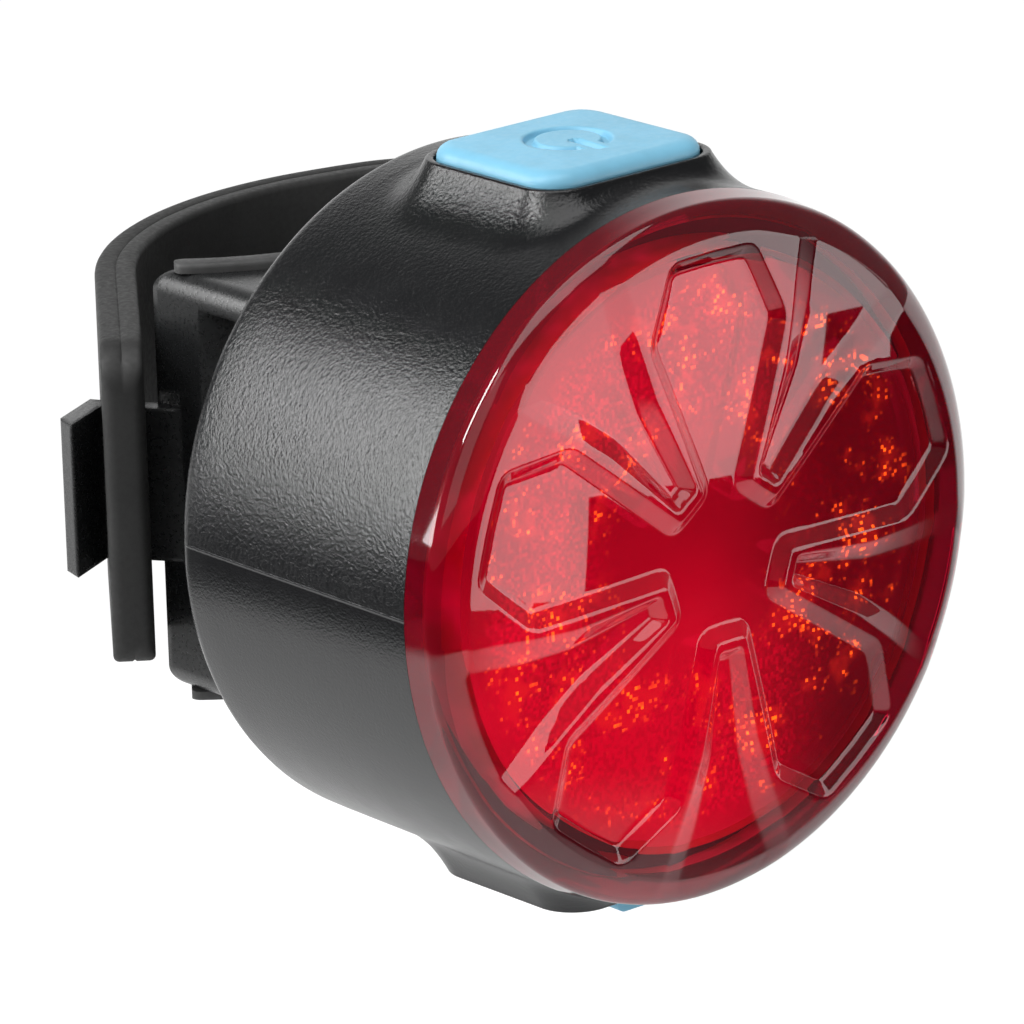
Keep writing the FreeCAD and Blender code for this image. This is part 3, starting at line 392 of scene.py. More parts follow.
def boss_mesh(flare, upside_down):
    """A boss with its recess, from the recess's inner edge to a rectangular window in the barrel.

    Rings go round a soft rectangle at growing offsets s. On the foot the height over the barrel falls as
    (1 - s / spread) to the power 3.1. The last rings lie on the barrel and blend into the window's edge.
    """
    lip_in, lip_in_edge, lip_out, lip_out_edge = -0.55, 0.14, -0.22, 0.2
    foot_start, foot_power, foot_end_spread = -0.024, 3.1, 2.3
    base, way = soft_rectangle(BOSS_HALF_W, BOSS_HALF_L, BOSS_CORNER_R)
    base = base + [0.0, BOSS_DEPTH]
    spread = np.sqrt((way[:, 0] * flare) ** 2 + (way[:, 1] * foot_end_spread) ** 2)
    rings = []

    def outline(offset):
        """Points of the outline at an offset, the same all round or one for each point."""
        return base + way * (BOSS_CORNER_R + np.broadcast_to(offset, len(base)))[:, None]

    def ring(offset, height):
        """Adds one ring at an offset and a height."""
        rings.append(np.column_stack([outline(offset), np.broadcast_to(height, len(base))]))

    ring(0.7, INNER_FLAT_Z)
    ring(lip_in, INNER_FLAT_Z)
    ring(lip_in, BOSS_RIM_Z - 0.7)
    for turn in np.radians([0, 30, 60, 90]):
        ring(lip_in + lip_in_edge * (1 - math.cos(turn)), BOSS_RIM_Z - lip_in_edge * (1 - math.sin(turn)))
    for turn in np.radians([90, 70, 50, 30, 12]):
        top = BOSS_RIM_Z - lip_out_edge * (1 - math.sin(turn))
        ring(lip_out + lip_out_edge * math.cos(turn), top)
    for step in np.linspace(0, 1, 17)[1:]:
        offset = foot_start + (spread - foot_start) * step
        flat = outline(offset)
        barrel = np.sqrt(barrel_radius(flat[:, 1]) ** 2 - flat[:, 0] ** 2)
        ring(offset, barrel + (top - barrel) * (1 - step) ** foot_power)
    foot = rings[-1]
    foot_turn = np.degrees(np.arcsin(foot[:, 0] / barrel_radius(foot[:, 1])))
    middle = len(WINDOW_DEPTHS) // 2
    first, last = WINDOW_DEPTHS[0], WINDOW_DEPTHS[-1]
    turns = np.linspace(0, WINDOW_TURN, WINDOW_COLUMNS // 2 + 1)
    edge = np.concatenate([
        pairs(WINDOW_TURN, WINDOW_DEPTHS[middle:-1]), pairs(turns[:0:-1], last),
        pairs(-turns[:-1], last), pairs(-WINDOW_TURN, WINDOW_DEPTHS[:middle:-1]),
        pairs(-WINDOW_TURN, WINDOW_DEPTHS[middle:0:-1]), pairs(-turns[:0:-1], first),
        pairs(turns[:-1], first), pairs(WINDOW_TURN, WINDOW_DEPTHS[:middle]),
    ])
    for step in np.linspace(0, 1, 6)[1:]:
        turn = np.radians(foot_turn * (1 - step) + edge[:, 0] * step)
        depth = foot[:, 1] * (1 - step) + edge[:, 1] * step
        radius = barrel_radius(depth)
        rings.append(np.stack([radius * np.sin(turn), depth, radius * np.cos(turn)], axis=-1))
    grid = np.stack(rings)
    grid[..., 1] += JOINT_Y
    if upside_down:
        grid[..., 2] *= -1
    return grid, grid_faces(len(rings), len(base))


def barrel_mesh():
    """The housing's barrel as a grid of depth and angle, with a window left open for each boss."""
    edge_r, beside = 1.2, 80
    depths = np.concatenate([[0.0], WINDOW_DEPTHS])
    in_window = np.linspace(-WINDOW_TURN, WINDOW_TURN, WINDOW_COLUMNS + 1)[:-1]
    between = np.linspace(WINDOW_TURN, 180 - WINDOW_TURN, beside + 1)[:-1]
    turns = np.concatenate([in_window, between, in_window + 180, between + 180])
    edge = np.radians(np.linspace(0, 90, 9))
    flat_r = barrel_radius(HOUSING_DEPTH) - edge_r
    rear = [(flat_r + edge_r * math.cos(a), HOUSING_DEPTH - edge_r + edge_r * math.sin(a)) for a in edge]
    rear += [(HOUSING_BORE_R, depth) for depth in (HOUSING_DEPTH, HOUSING_DEPTH - 2.6, 10.0, 3.0)]
    rear += [(16.6, 3.0), (16.6, 2.3), (HOUSING_BORE_R, 2.3), (HOUSING_BORE_R, 0.0), (HOUSING_R, 0.0)]
    profile = np.array([(barrel_radius(depth), depth) for depth in depths] + rear)
    turn = np.radians(turns)
    x, z = profile[:, :1] * np.sin(turn), profile[:, :1] * np.cos(turn)
    points = np.stack([x, np.repeat(profile[:, 1:] + JOINT_Y, len(turns), axis=1), z], axis=-1)
    quads = grid_faces(len(profile), len(turns)).reshape(len(profile) - 1, len(turns), 4)
    keep = np.ones(quads.shape[:2], bool)
    bore = len(depths) + len(edge) + 1
    for start in (0, WINDOW_COLUMNS + beside):
        keep[1:len(WINDOW_DEPTHS), start:start + WINDOW_COLUMNS] = False
        keep[bore, start + 6:start + WINDOW_COLUMNS - 6] = False
    return points, quads[keep]


def post_meshes():
    """Four posts in the housing that the screws go into, each a closed profile of radius and depth, turned."""
    profile = np.array([(2.3, 8.4), (2.3, 17.2), (0.8, 17.2), (0.8, 8.4), (2.3, 8.4)])
    turn = np.linspace(0, 2 * math.pi, 24, endpoint=False)
    y = np.repeat(profile[:, 1:] + JOINT_Y, len(turn), axis=1)
    tubes = []
    for angle in np.radians([18.0, 162.0, 198.0, 342.0]):
        x = profile[:, :1] * np.cos(turn) + 14.9 * math.cos(angle)
        z = profile[:, :1] * np.sin(turn) + 14.9 * math.sin(angle)
        tubes.append((np.stack([x, y, z], axis=-1), grid_faces(len(profile), len(turn))))
    return tubes


def key_mesh(edge):
    """The key from the middle of its top to its foot, in rings round the sign's middle.

    The inner rings are circles, the next blend into a soft rectangle, and the last go over the round edge, down the
    side and round the foot. The top falls by 0.12 mm towards its edge. The sign is a ring of 2.15 mm and a bar,
    0.55 mm wide, pressed 0.3 mm deep, with the ring open round the bar.
    """
    crown, sign_depth, sign_r, sign_half_w, inner_r = 0.12, 0.3, 2.15, 0.275, 3.4
    base, way = soft_rectangle(KEY_HALF_W, KEY_HALF_L, KEY_CORNER_R, 20, 32, 16)
    rim = base + way * (KEY_CORNER_R - edge)
    heading = np.arctan2(rim[:, 1], rim[:, 0])
    circle = np.stack([np.cos(heading), np.sin(heading)], axis=-1)
    radii = np.concatenate([np.linspace(0, 1.7, 8), np.linspace(1.78, 2.52, 16), np.linspace(2.7, inner_r, 4)])
    flat = np.stack(
        [circle * radius for radius in radii]
        + [circle * inner_r * (1 - step) + rim * step for step in np.linspace(0, 1, 11)[1:]]
    )
    x, y = flat[..., 0], flat[..., 1]
    away = np.maximum(np.abs(x) / KEY_HALF_W, np.abs(y) / KEY_HALF_L)
    ring_sign = sign_half_w - np.abs(np.hypot(x, y) - sign_r)
    ring_sign = np.where(y < 0, np.minimum(ring_sign, np.abs(x) - 0.85), ring_sign)
    bar_sign = np.minimum(sign_half_w - np.abs(x), np.minimum(y + 2.75, -0.35 - y))
    pressed = soft_step(np.maximum(ring_sign, bar_sign), 0.12, 0.1)
    height = KEY_TOP_Z - crown * away ** 2 - sign_depth * pressed
    lower = []

    def ring(outline, level):
        """Adds one level ring."""
        lower.append(np.column_stack([outline, np.full(len(base), level)]))

    for turn in np.radians(np.linspace(90, 0, 8)[1:]):
        outline = base + way * (KEY_CORNER_R - edge + edge * math.cos(turn))
        ring(outline, KEY_TOP_Z - crown - edge * (1 - math.sin(turn)))
    for offset, level in ((0.0, 18.5), (0.0, 16.85), (0.8, 16.85), (0.8, 16.0)):
        ring(base + way * (KEY_CORNER_R + offset), level)
    for radius, level in ((1.2, 16.0), (1.2, 15.56), (0.0, 15.56)):
        ring(circle * radius, level)
    grid = np.concatenate([np.concatenate([flat, height[..., None]], axis=-1), np.stack(lower)])
    grid[..., 1] += JOINT_Y + BOSS_DEPTH
    return grid, grid_faces(len(grid), len(base))


STRAP_START = (-16.94, -13.67)
STRAP_HEADING = 52.8
STRAP_STRAIGHT = 16.4
STRAP_T = 2.4
STRAP_HALF_W = 9.3
PIN_AXIS = (15.6, -11.031)
# The slot's ends along the strap, and its half height.
SLOT = (4.16, 7.3, 4.9)


def strap_route():
    """Points and headings along the strap's middle line: a straight, two clockwise arcs, a tight one, a straight."""
    def ahead(heading):
        """Unit step along a heading."""
        return np.array([math.cos(heading), math.sin(heading)])

    def left(heading):
        """Unit step to the left of a heading."""
        return np.array([-math.sin(heading), math.cos(heading)])

    start, heading = np.array(STRAP_START), math.radians(STRAP_HEADING)
    free_end = 2.5 * (1 - np.cos(np.radians(np.linspace(0, 90, 13))))
    along = list(np.concatenate([free_end, [3.3, SLOT[0], SLOT[1], 9.0, 12.0, 14.5]]))
    points = [start + s * ahead(heading) for s in along]
    headings = [heading] * len(along)
    length = STRAP_STRAIGHT
    point = start + length * ahead(heading)
    pin = np.array(PIN_AXIS)
    for radius, turn, steps in ((21.4, math.radians(63.3), 30), (45.0, math.radians(5.0), 3), (8.0, None, 26)):
        centre = point - radius * left(heading)
        if turn is None:
            to_pin = pin - centre
            toward = math.atan2(to_pin[1], to_pin[0]) - math.pi / 2 + math.acos(radius / np.linalg.norm(to_pin))
            turn = (heading - toward) % (2 * math.pi)
        turns = heading - turn * np.arange(steps) / steps
        points += [centre + radius * left(h) for h in turns]
        headings += list(turns)
        along += list(length + radius * (heading - turns))
        heading -= turn
        length += radius * turn
        point = centre + radius * left(heading)
    for s in np.linspace(0, np.linalg.norm(pin - point) - 1.0, 4):
        points.append(point + s * ahead(heading))
        headings.append(heading)
        along.append(length + s)
    return np.array(points), np.array(headings), np.array(along)


def strap_meshes(edge):
    """The strap as a section carried along its route, with its slot's walls and its eye.

    The section is a tall rectangle with edges rounded by a quarter circle and a fine groove along its upper and
    lower edges. Near the free end the height follows the corners' circles:
    z = half width - r + sqrt(r^2 - (r - s)^2).
    """
    eye_in_r, eye_out_r, groove_half_w, groove_depth = 1.25, 2.6, 0.12, 0.09
    points, headings, along = strap_route()
    half_t, half_w, hole = STRAP_T / 2, STRAP_HALF_W, SLOT[2]

    def corner(radius):
        """Height lost to a round corner at each point along the strap."""
        left = np.clip(radius - along, 0, radius)
        return radius - np.sqrt(radius ** 2 - left ** 2)

    high, low = half_w - corner(2.5), -half_w + corner(1.2)
    arc = np.radians([0, 22.5, 45, 67.5, 90])
    flat = half_t - edge
    upper = [(flat + edge * math.cos(a), -edge + edge * math.sin(a)) for a in arc]
    upper += [(groove_half_w, 0.0), (0.0, -groove_depth), (-groove_half_w, 0.0)]
    upper += [(-flat - edge * math.cos(a), -edge + edge * math.sin(a)) for a in arc[::-1]]
    ones = np.ones_like(along)
    columns = [(half_t * ones, hole * -ones), (half_t * ones, hole * ones)]
    columns += [(n * ones, high + z) for n, z in upper]
    columns += [(-half_t * ones, hole * ones), (-half_t * ones, -hole * ones)]
    columns += [(-n * ones, low - z) for n, z in upper]
    thin = 1 - corner(0.7) / half_t
    side = np.stack([column[0] for column in columns], axis=1) * thin[:, None]
    level = np.stack([column[1] for column in columns], axis=1)
    outward = np.stack([-np.sin(headings), np.cos(headings)], axis=-1)
    plan = points[:, None, :] + side[..., None] * outward[:, None, :]
    grid = np.concatenate([plan, level[..., None]], axis=-1)
    count = len(columns)
    quads = grid_faces(len(points), count).reshape(len(points) - 1, count, 4)
    row = int(np.searchsorted(along, SLOT[0] - 1e-6))
    inner = 2 + len(upper)
    keep = np.ones(quads.shape[:2], bool)
    keep[row, [0, inner]] = False
    slot_corners = grid[np.repeat([row, row + 1], 4), [0, 1, inner, inner + 1] * 2]
    slot_walls = np.array([[0, 1, 2, 3], [5, 4, 7, 6], [1, 5, 6, 2], [4, 0, 3, 7]])
    end = grid[0]
    middle = end.copy()
    middle[:, :2] = points[0]
    turn = np.linspace(0, 2 * math.pi, 49)[:-1]
    profile = np.array([
        (eye_in_r, -half_w), (eye_out_r - edge, -half_w), (eye_out_r, -half_w + edge), (eye_out_r, half_w - edge),
        (eye_out_r - edge, half_w), (eye_in_r, half_w), (eye_in_r, -half_w),
    ])
    eye = np.stack([
        PIN_AXIS[0] + profile[:, :1] * np.cos(turn), PIN_AXIS[1] + profile[:, :1] * np.sin(turn),
        np.repeat(profile[:, 1:], len(turn), axis=1),
    ], axis=-1)
    return [
        (grid, quads[keep]), (slot_corners, slot_walls), (np.stack([end, middle]), grid_faces(2, count)),
        (eye, grid_faces(len(profile), len(turn))),
    ]


def pad_mesh():
    """The pad as a section swept about the seat post's axis, with a rounded lip above and below the bracket.

    Liner: radius 15.8 to 16.8 mm. Lips: radius 15.8 to 17.1 mm, 0.6 mm thick. Over the last 0.6 mm the section
    narrows to its middle radius as a half circle does.
    """
    inner_r, middle_r, outer_r, lip_r = 15.8, 16.4, 16.8, 17.1
    liner_turn, lip_turn = 40.5, 44.3
    quarter = np.radians([0, 30, 60, 90])
    top = [(inner_r, 12.3, liner_turn), (inner_r, 12.36, lip_turn)]
    top += [(16.0 - 0.2 * math.cos(a), 12.75 + 0.2 * math.sin(a), lip_turn) for a in quarter]
    top += [(outer_r + 0.3 * math.sin(a), 12.65 + 0.3 * math.cos(a), lip_turn) for a in quarter]
    top += [(lip_r, 12.36, lip_turn), (outer_r, 12.36, lip_turn), (outer_r, 12.3, liner_turn)]
    section = np.array(top + [(r, -z, a) for r, z, a in reversed(top)])
    bend = np.radians(np.linspace(0, 90, 7))
    ends = 1 - 0.047 * (1 - np.cos(bend))
    share = np.concatenate([-ends, np.linspace(-ends[-1], ends[-1], 50)[1:-1], ends[::-1]])
    narrow = np.concatenate([np.sin(bend), np.ones(48), np.sin(bend)[::-1]])
    radius = middle_r + (section[:, 0] - middle_r)[None, :] * narrow[:, None]
    turn = np.radians(section[:, 2])[None, :] * share[:, None]
    level = np.repeat(section[None, :, 1], len(share), axis=0)
    grid = np.stack([radius * np.sin(turn), -radius * np.cos(turn), level], axis=-1)
    first, last = grid[:1].copy(), grid[-1:].copy()
    for end in (first, last):
        end[...] = end.mean(axis=1, keepdims=True)
    grid = np.concatenate([first, grid, last])
    return grid, grid_faces(len(grid), len(section))


# ---- materials ----

BLACK, WHITE = (0.0, 0.0, 0.0, 1.0), (1.0, 1.0, 1.0, 1.0)


class Value:
    """A node's output. The sums and products of values, and of values and numbers, are Math nodes."""

    def __init__(self, socket):
        self.socket, self.tree = socket, socket.id_data

    def __add__(self, other):
        return math_node(self.tree, "ADD", self, other)

    def __sub__(self, other):
        return math_node(self.tree, "SUBTRACT", self, other)

    def __rsub__(self, other):
        return math_node(self.tree, "SUBTRACT", other, self)

    def __mul__(self, other):
        return math_node(self.tree, "MULTIPLY", self, other)

    def ramp(self, low, high, to_low=0.0, to_high=1.0, kind="SMOOTHSTEP"):
        """Rise from to_low to to_high while the value goes from low to high."""
        values = {"Value": self, "From Min": low, "From Max": high, "To Min": to_low, "To Max": to_high}
        return value_of(self.tree, "MapRange", values, interpolation_type=kind)

    def mix(self, first, second):
        """Colour between two, by the value. A Mix node's colours are its inputs 6 and 7 and its output 2."""
        return value_of(self.tree, "Mix", {"Factor": self, 6: first, 7: second}, 2, data_type="RGBA")


def feed(inputs, values):
    """Links values to inputs, given by name or place, or sets the inputs to plain numbers and colours."""
    for key, value in values.items():
        if isinstance(value, Value):
            value.tree.links.new(value.socket, inputs[key])
        else:
            inputs[key].default_value = value


def add_node(tree, kind, values=None, **settings):
    """A node with its settings and what feeds its inputs."""
    node = tree.nodes.new("ShaderNode" + kind)
    for name, setting in settings.items():
        setattr(node, name, setting)
    feed(node.inputs, values or {})
    return node


def value_of(tree, kind, values=None, output=0, **settings):
    """One output of a new node, the first if no other is asked for."""
    return Value(add_node(tree, kind, values, **settings).outputs[output])


def values_of(node):
    """All outputs of a node by name."""
    return {socket.name: Value(socket) for socket in node.outputs}


def math_node(tree, operation, first, second=0.0, clamp=False):
    """Value of a Math node on two values or numbers."""
    return value_of(tree, "Math", {0: first, 1: second}, operation=operation, use_clamp=clamp)


def vector_node(tree, operation, first, second):
    """Number that a Vector Math node gives, such as a distance or a length along a direction."""
    return value_of(tree, "VectorMath", {0: first, 1: second}, "Value", operation=operation)


def place(tree, kind="Object"):
    """Coordinates of the point that is shaded."""
    return value_of(tree, "TexCoord", None, kind)


def axes(tree):
    """Object coordinates as three values, x, y and z."""
    return values_of(add_node(tree, "SeparateXYZ", {0: place(tree)})).values()


def noise(tree, scale, detail=2.0, roughness=0.5):
    """Noise over Object coordinates."""
    values = {"Vector": place(tree), "Scale": scale, "Detail": detail, "Roughness": roughness}
    return value_of(tree, "TexNoise", values)


def new_material(name):
    """A material, its node tree and its Principled shader's inputs."""
    made = bpy.data.materials.new(name)
    made.use_nodes = True
    return made, made.node_tree, made.node_tree.nodes["Principled BSDF"].inputs


def shade_of(colour, share):
    """The colour times a number, at most white."""
    return tuple(min(1.0, part * share) for part in colour[:3]) + (1.0,)


def grain_group():
    """Node group: the fine grain of a moulded or machined surface, as a value, a mottled mask and a normal."""
    group = bpy.data.node_groups.get("Moulded grain")
    if group:
        return group
    group = bpy.data.node_groups.new("Moulded grain", "ShaderNodeTree")
    face = group.interface
    for name, value in (("Fineness", 5000.0), ("Depth", 1e-5), ("Mottle size", 400.0), ("Edge", 0.0)):
        face.new_socket(name, in_out="INPUT", socket_type="NodeSocketFloat").default_value = value
    for name, kind in (("Grain", "Float"), ("Mottle", "Float"), ("Normal", "Vector")):
        face.new_socket(name, in_out="OUTPUT", socket_type="NodeSocket" + kind)
    given = values_of(group.nodes.new("NodeGroupInput"))
    grain = noise(group, given["Fineness"], 2.0, 0.6)
    edge = value_of(group, "Bevel", {"Radius": given["Edge"]}, samples=4)
    feed(group.nodes.new("NodeGroupOutput").inputs, {
        "Grain": grain,
        "Mottle": noise(group, given["Mottle size"], 3.0, 0.6),
        "Normal": value_of(group, "Bump", {"Normal": edge, "Height": grain, "Distance": given["Depth"]}),
    })
    return group


def place_grain(tree, fineness, depth, edge=0.0):
    """The grain group in a material: its outputs by name."""
    values = {"Fineness": fineness, "Depth": depth, "Edge": edge}
    return values_of(add_node(tree, "Group", values, node_tree=grain_group()))


def finish(
    name, colour, roughness, metallic=0.0, fineness=5000.0, depth=1e-5, mottle=0.15, spread=0.1, edge=0.0,
    specular=0.5,
):
    """Moulded plastic, rubber or metal: mottled colour, roughness that varies with the grain, and its bump."""
    made, tree, surface = new_material(name)
    grain = place_grain(tree, fineness, depth, edge)
    dull, gloss = min(1.0, roughness + spread), max(0.02, roughness - spread)
    feed(surface, {
        "Base Color": grain["Mottle"].ramp(0.3, 0.7).mix(shade_of(colour, 1 - mottle), shade_of(colour, 1 + mottle)),
        "Roughness": grain["Grain"].ramp(0.3, 0.7, gloss, dull, "LINEAR"),
        "Normal": grain["Normal"],
        "Metallic": metallic,
        "Specular IOR Level": specular,
    })
    return made


def housing_material(colour):
    """Black plastic, leathery above the moulds' joint line, smoother below it, with a fine ridge along that line."""
    made, tree, surface = new_material("Housing plastic")
    _, _, z = axes(tree)
    mottle = place_grain(tree, 3600.0, 1e-5)["Mottle"]
    leather, fine = noise(tree, 4000.0, 3.0, 0.6), noise(tree, 7000.0, 1.0)
    upper = z.ramp(0.35 * MM, 0.5 * MM)
    ridge = 1.0 - math_node(tree, "ABSOLUTE", z - 0.42 * MM).ramp(0.0, 0.12 * MM)
    relief = leather * (upper * 0.75 + 0.25) + fine * 0.25 + ridge * 0.5
    feed(surface, {
        "Normal": value_of(tree, "Bump", {"Distance": 3.9e-5, "Height": relief}),
        "Base Color": mottle.mix(colour, shade_of(colour, 1.25)),
        "Roughness": mottle * 0.1 + 0.17,
    })
    return made


def lens_material(name, colour, clearness, gloss, dullness):
    """Red plastic, clear or cloudy, faintly uneven under a gloss."""
    made, tree, surface = new_material(name)
    feed(surface, {
        "Base Color": colour,
        "Transmission Weight": clearness,
        "IOR": 1.22,
        "Coat Weight": 1.0,
        "Coat IOR": gloss,
        "Coat Roughness": dullness,
        "Roughness": noise(tree, 700.0).ramp(0.0, 1.0, 0.0, 0.04, "LINEAR"),
    })
    return made


def skirt_material(colour):
    """Walls of the lens's skirt with a painted red glow, which stands in for the lamps' light that they catch, more
    on the side of -X.
    """
    made, tree, surface = new_material("Lens skirt red")
    x, _, _ = axes(tree)
    # Painted shade: the glow weakens towards +X.
    dull = x.ramp(-4 * MM, 14 * MM) * -0.2
    patch = noise(tree, 260.0, 3.0, 0.6).ramp(0.4, 0.7) * 0.2
    glow = math_node(tree, "ADD", dull + 0.02, patch, clamp=True)
    feed(surface, {
        "Emission Color": glow.mix(BLACK, (0.9, 0.01, 0.25, 1.0)),
        "Emission Strength": 1.0,
        "Base Color": colour,
        "Roughness": 0.3,
    })
    return made


def panel_material(pitch):
    """Prism panel, painted as glowing: its emission stands in for the lamps' light that its small prisms send back.

    Cells of one pitch get a random value each. A few cells in clusters on a ring about the middle glow orange as
    painted glints, the others with a painted red glow of varying strength, dimmed by painted shade on the right and
    towards the top.
    """
    made, tree, surface = new_material("Prism panel")
    x, _, z = axes(tree)

    def cell(value):
        """Number of the cell that a coordinate lies in."""
        return math_node(tree, "FLOOR", math_node(tree, "DIVIDE", value, pitch))

    cells = value_of(tree, "CombineXYZ", {"X": cell(x), "Z": cell(z)})
    chance = value_of(tree, "TexWhiteNoise", {"Vector": cells}, noise_dimensions="3D")
    radius = math_node(tree, "SQRT", x * x + z * z)
    ring = radius.ramp(5.5 * MM, 9.5 * MM) * (1.0 - radius.ramp(14.0 * MM, 16.4 * MM))
    # Painted glints: patches of the ring where a few cells glow orange.
    lit = ring * noise(tree, 330.0, 3.0, 0.65).ramp(0.49, 0.66)
    spark = chance.ramp(0.84, 0.99) * lit
    # Painted shade: the glow dims towards +X and towards the top.
    shade = (1.0 - x.ramp(0.0, 11 * MM) * 0.88) * (z.ramp(-7 * MM, 3 * MM) * -0.47 + 1.3)
    glow = chance * chance * ring * 0.55 + 0.55 + lit * 0.3
    glow = glow * shade * (noise(tree, 120.0, 1.0) + 0.5)
    red = glow.mix(BLACK, (1.0, 0.02, 0.4, 1.0))
    warm = (lit * 0.22).mix(red, (1.5, 4.0, 0.2, 1.0))
    # The panel's emission is painted light, not a lamp.
    feed(surface, {
        "Emission Color": spark.mix(warm, (5.0, 40.0, 0.3, 1.0)),
        "Emission Strength": 1.0,
        "Base Color": (0.02, 0.0, 0.0, 1.0),
        "Roughness": 0.4,
    })
    return made


# ---- operators ----

def sizes():
    """The sizes that the panel shows."""
    return bpy.context.scene.tail_light_sizes


def colours():
    """The colours that the panel shows."""
    return bpy.context.scene.tail_light_colours


def dress(node, material):
    """Gives a CAD node its material."""
    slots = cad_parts[node].data.materials
    slots.clear()
    slots.append(material)


class TAILLIGHT_OT_lens(bpy.types.Operator):
    """Red lens with its petals and wedges"""

    bl_idname = "tail_light.lens"
    bl_label = "Lens"

    def execute(self, context):
        colour = tuple(colours().lens)
        made = piece(
            "lens_red", [lens_mesh(sizes())], lens_material("Lens red", colour, 0.92, 1.56, 0.015), "light",
            ("lens",), 50,
        )
        mesh = made.data
        # The rim's red is the lens's red darkened to 0.6, which is painted shade.
        mesh.materials.append(lens_material("Lens rim red", shade_of(colour, 0.6), 0.82, 1.5, 0.06))
        mesh.materials.append(skirt_material(colour))
        middles = np.zeros(len(mesh.polygons) * 3)
        mesh.polygons.foreach_get("center", middles)
        x, y, z = middles.reshape(-1, 3).T / MM
        away, depth = np.hypot(x, z), y - JOINT_Y
        face, rim, skirt = 0, 1, 2
        # Faces of the skirt's walls, which get the painted glow.
        in_skirt = (depth > -0.7) & (away < 18.15) & (away > 16.85)
        kinds = np.where(away > 19.3, rim, np.where(in_skirt, skirt, face))
        mesh.polygons.foreach_set("material_index", kinds.astype(np.int32))
        # The prism panel gets a painted glow and painted glints in place of the light that its prisms send back.
        dress("prism_panel", panel_material(sizes().prism_pitch))
        return {"FINISHED"}


class TAILLIGHT_OT_housing(bpy.types.Operator):
    """Black housing with its two bosses"""

    bl_idname = "tail_light.housing"
    bl_label = "Housing"

    def execute(self, context):
        flare = sizes().boss_flare / MM
        parts = [barrel_mesh(), boss_mesh(flare, False), boss_mesh(flare, True)] + post_meshes()
        material = housing_material(tuple(colours().housing))
        piece("housing_shell", parts, material, "light", ("housing",), 35)
        return {"FINISHED"}


class TAILLIGHT_OT_key(bpy.types.Operator):
    """Light blue key and port cover"""

    bl_idname = "tail_light.key"
    bl_label = "Key and port cover"

    def execute(self, context):
        blue = finish(
            "Blue silicone", tuple(colours().silicone), 0.42, fineness=2500.0, depth=4e-6, mottle=0.05, spread=0.06
        )
        piece("power_key", [key_mesh(sizes().key_edge / MM)], blue, "key", ("power_button",), 50)
        dress("usb_cover", blue)
        return {"FINISHED"}


class TAILLIGHT_OT_strap(bpy.types.Operator):
    """Rubber strap with its slot and eye"""

    bl_idname = "tail_light.strap"
    bl_label = "Strap"

    def execute(self, context):
        rubber = finish("Strap rubber", tuple(colours().strap), 0.6, fineness=3000.0, depth=8e-6)
        parts = strap_meshes(sizes().strap_edge / MM)
        piece("rubber_strap", parts, rubber, "strap_loop", ("strap",), 50)
        return {"FINISHED"}


class TAILLIGHT_OT_small_parts(bpy.types.Operator):
    """Finishes of the bracket, its pad and the pieces inside the housing"""

    bl_idname = "tail_light.small_parts"
    bl_label = "Bracket and inner pieces"

    def execute(self, context):
        rubber = finish("Pad rubber", (0.05, 0.05, 0.05, 1.0), 0.6, fineness=3000.0, depth=1.2e-5, mottle=0.2)
        piece("post_pad", [pad_mesh()], rubber, "light", ("bracket_pad",), 50)
        bracket = finish(
            "Bracket plastic", tuple(colours().bracket), 0.3, fineness=4500.0, depth=8e-6, spread=0.06,
            edge=0.4 * MM, specular=0.8,
        )
        steel = finish(
            "Screw steel", (0.55, 0.55, 0.54, 1.0), 0.28, 1.0, fineness=6000.0, depth=2e-6, mottle=0.08, spread=0.08
        )
        seal = finish("Seal rubber", (0.02, 0.02, 0.02, 1.0), 0.6)
        plating = (0.75, 0.72, 0.70, 1.0)
        for node, material in {
            "bracket": bracket,
            "rear_cover": finish("Cover plastic", (0.02, 0.02, 0.021, 1.0), 0.4, fineness=4500.0, depth=1.5e-5),
            "cover_seal": seal,
            "lens_gasket": seal,
            "reflector": finish("Reflector plating", plating, 0.18, 1.0, fineness=3000.0, depth=2e-6, mottle=0.05),
            "leds": finish("Lamp resin", (0.85, 0.7, 0.25, 1.0), 0.3, fineness=3000.0, depth=3e-6),
            "circuit_board": finish("Board", (0.02, 0.16, 0.06, 1.0), 0.45, fineness=3000.0, depth=4e-6),
            "board_parts": finish("Chip resin", (0.025, 0.025, 0.027, 1.0), 0.5),
            "board_screws": steel,
            "cover_screws": steel,
            "bracket_screws": steel,
            "strap_pin": steel,
            "switch_body": finish("Switch plastic", (0.05, 0.05, 0.055, 1.0), 0.45),
            "switch_plunger": finish("Plunger plastic", (0.6, 0.6, 0.58, 1.0), 0.45),
            "usb_socket": finish("Port steel", (0.62, 0.62, 0.61, 1.0), 0.25, 1.0, depth=2e-6),
            "usb_tongue": finish("Port plastic", (0.03, 0.03, 0.03, 1.0), 0.45),
            "battery": finish("Cell foil", (0.62, 0.64, 0.66, 1.0), 0.35, 0.8, fineness=2500.0, depth=8e-6),
            "battery_tape": finish("Foam tape", (0.16, 0.16, 0.16, 1.0), 0.9, fineness=2500.0, depth=3e-5),
            "battery_leads": finish("Lead sleeve", (0.45, 0.02, 0.02, 1.0), 0.5),
        }.items():
            dress(node, material)
        return {"FINISHED"}


# The stage is measured in metres.
FLOOR_Z = -0.046
LENS_MIDDLE = (0.0, -0.035, 0.0)
# The level direction behind the object as the camera sees it, and the one that the lens mirrors from the front.
BEHIND = (0.65, 0.76, 0.0)
MIRRORED = (0.669, -0.743, 0.0)
# The front softboxes stand side by side on that side, facing the lens: sideways, height, size, power.
FRONT_TURN = math.radians(42.0)
FRONT_AWAY = 0.14
FRONT_LAMPS = (
    ("front softbox", -0.064, 0.0, (0.068, 0.12), 0.0575),
    ("front middle softbox", -0.012, 0.0145, (0.036, 0.092), 0.0245),
    ("front right softbox", 0.014, 0.0205, (0.016, 0.08), 0.0095),
)
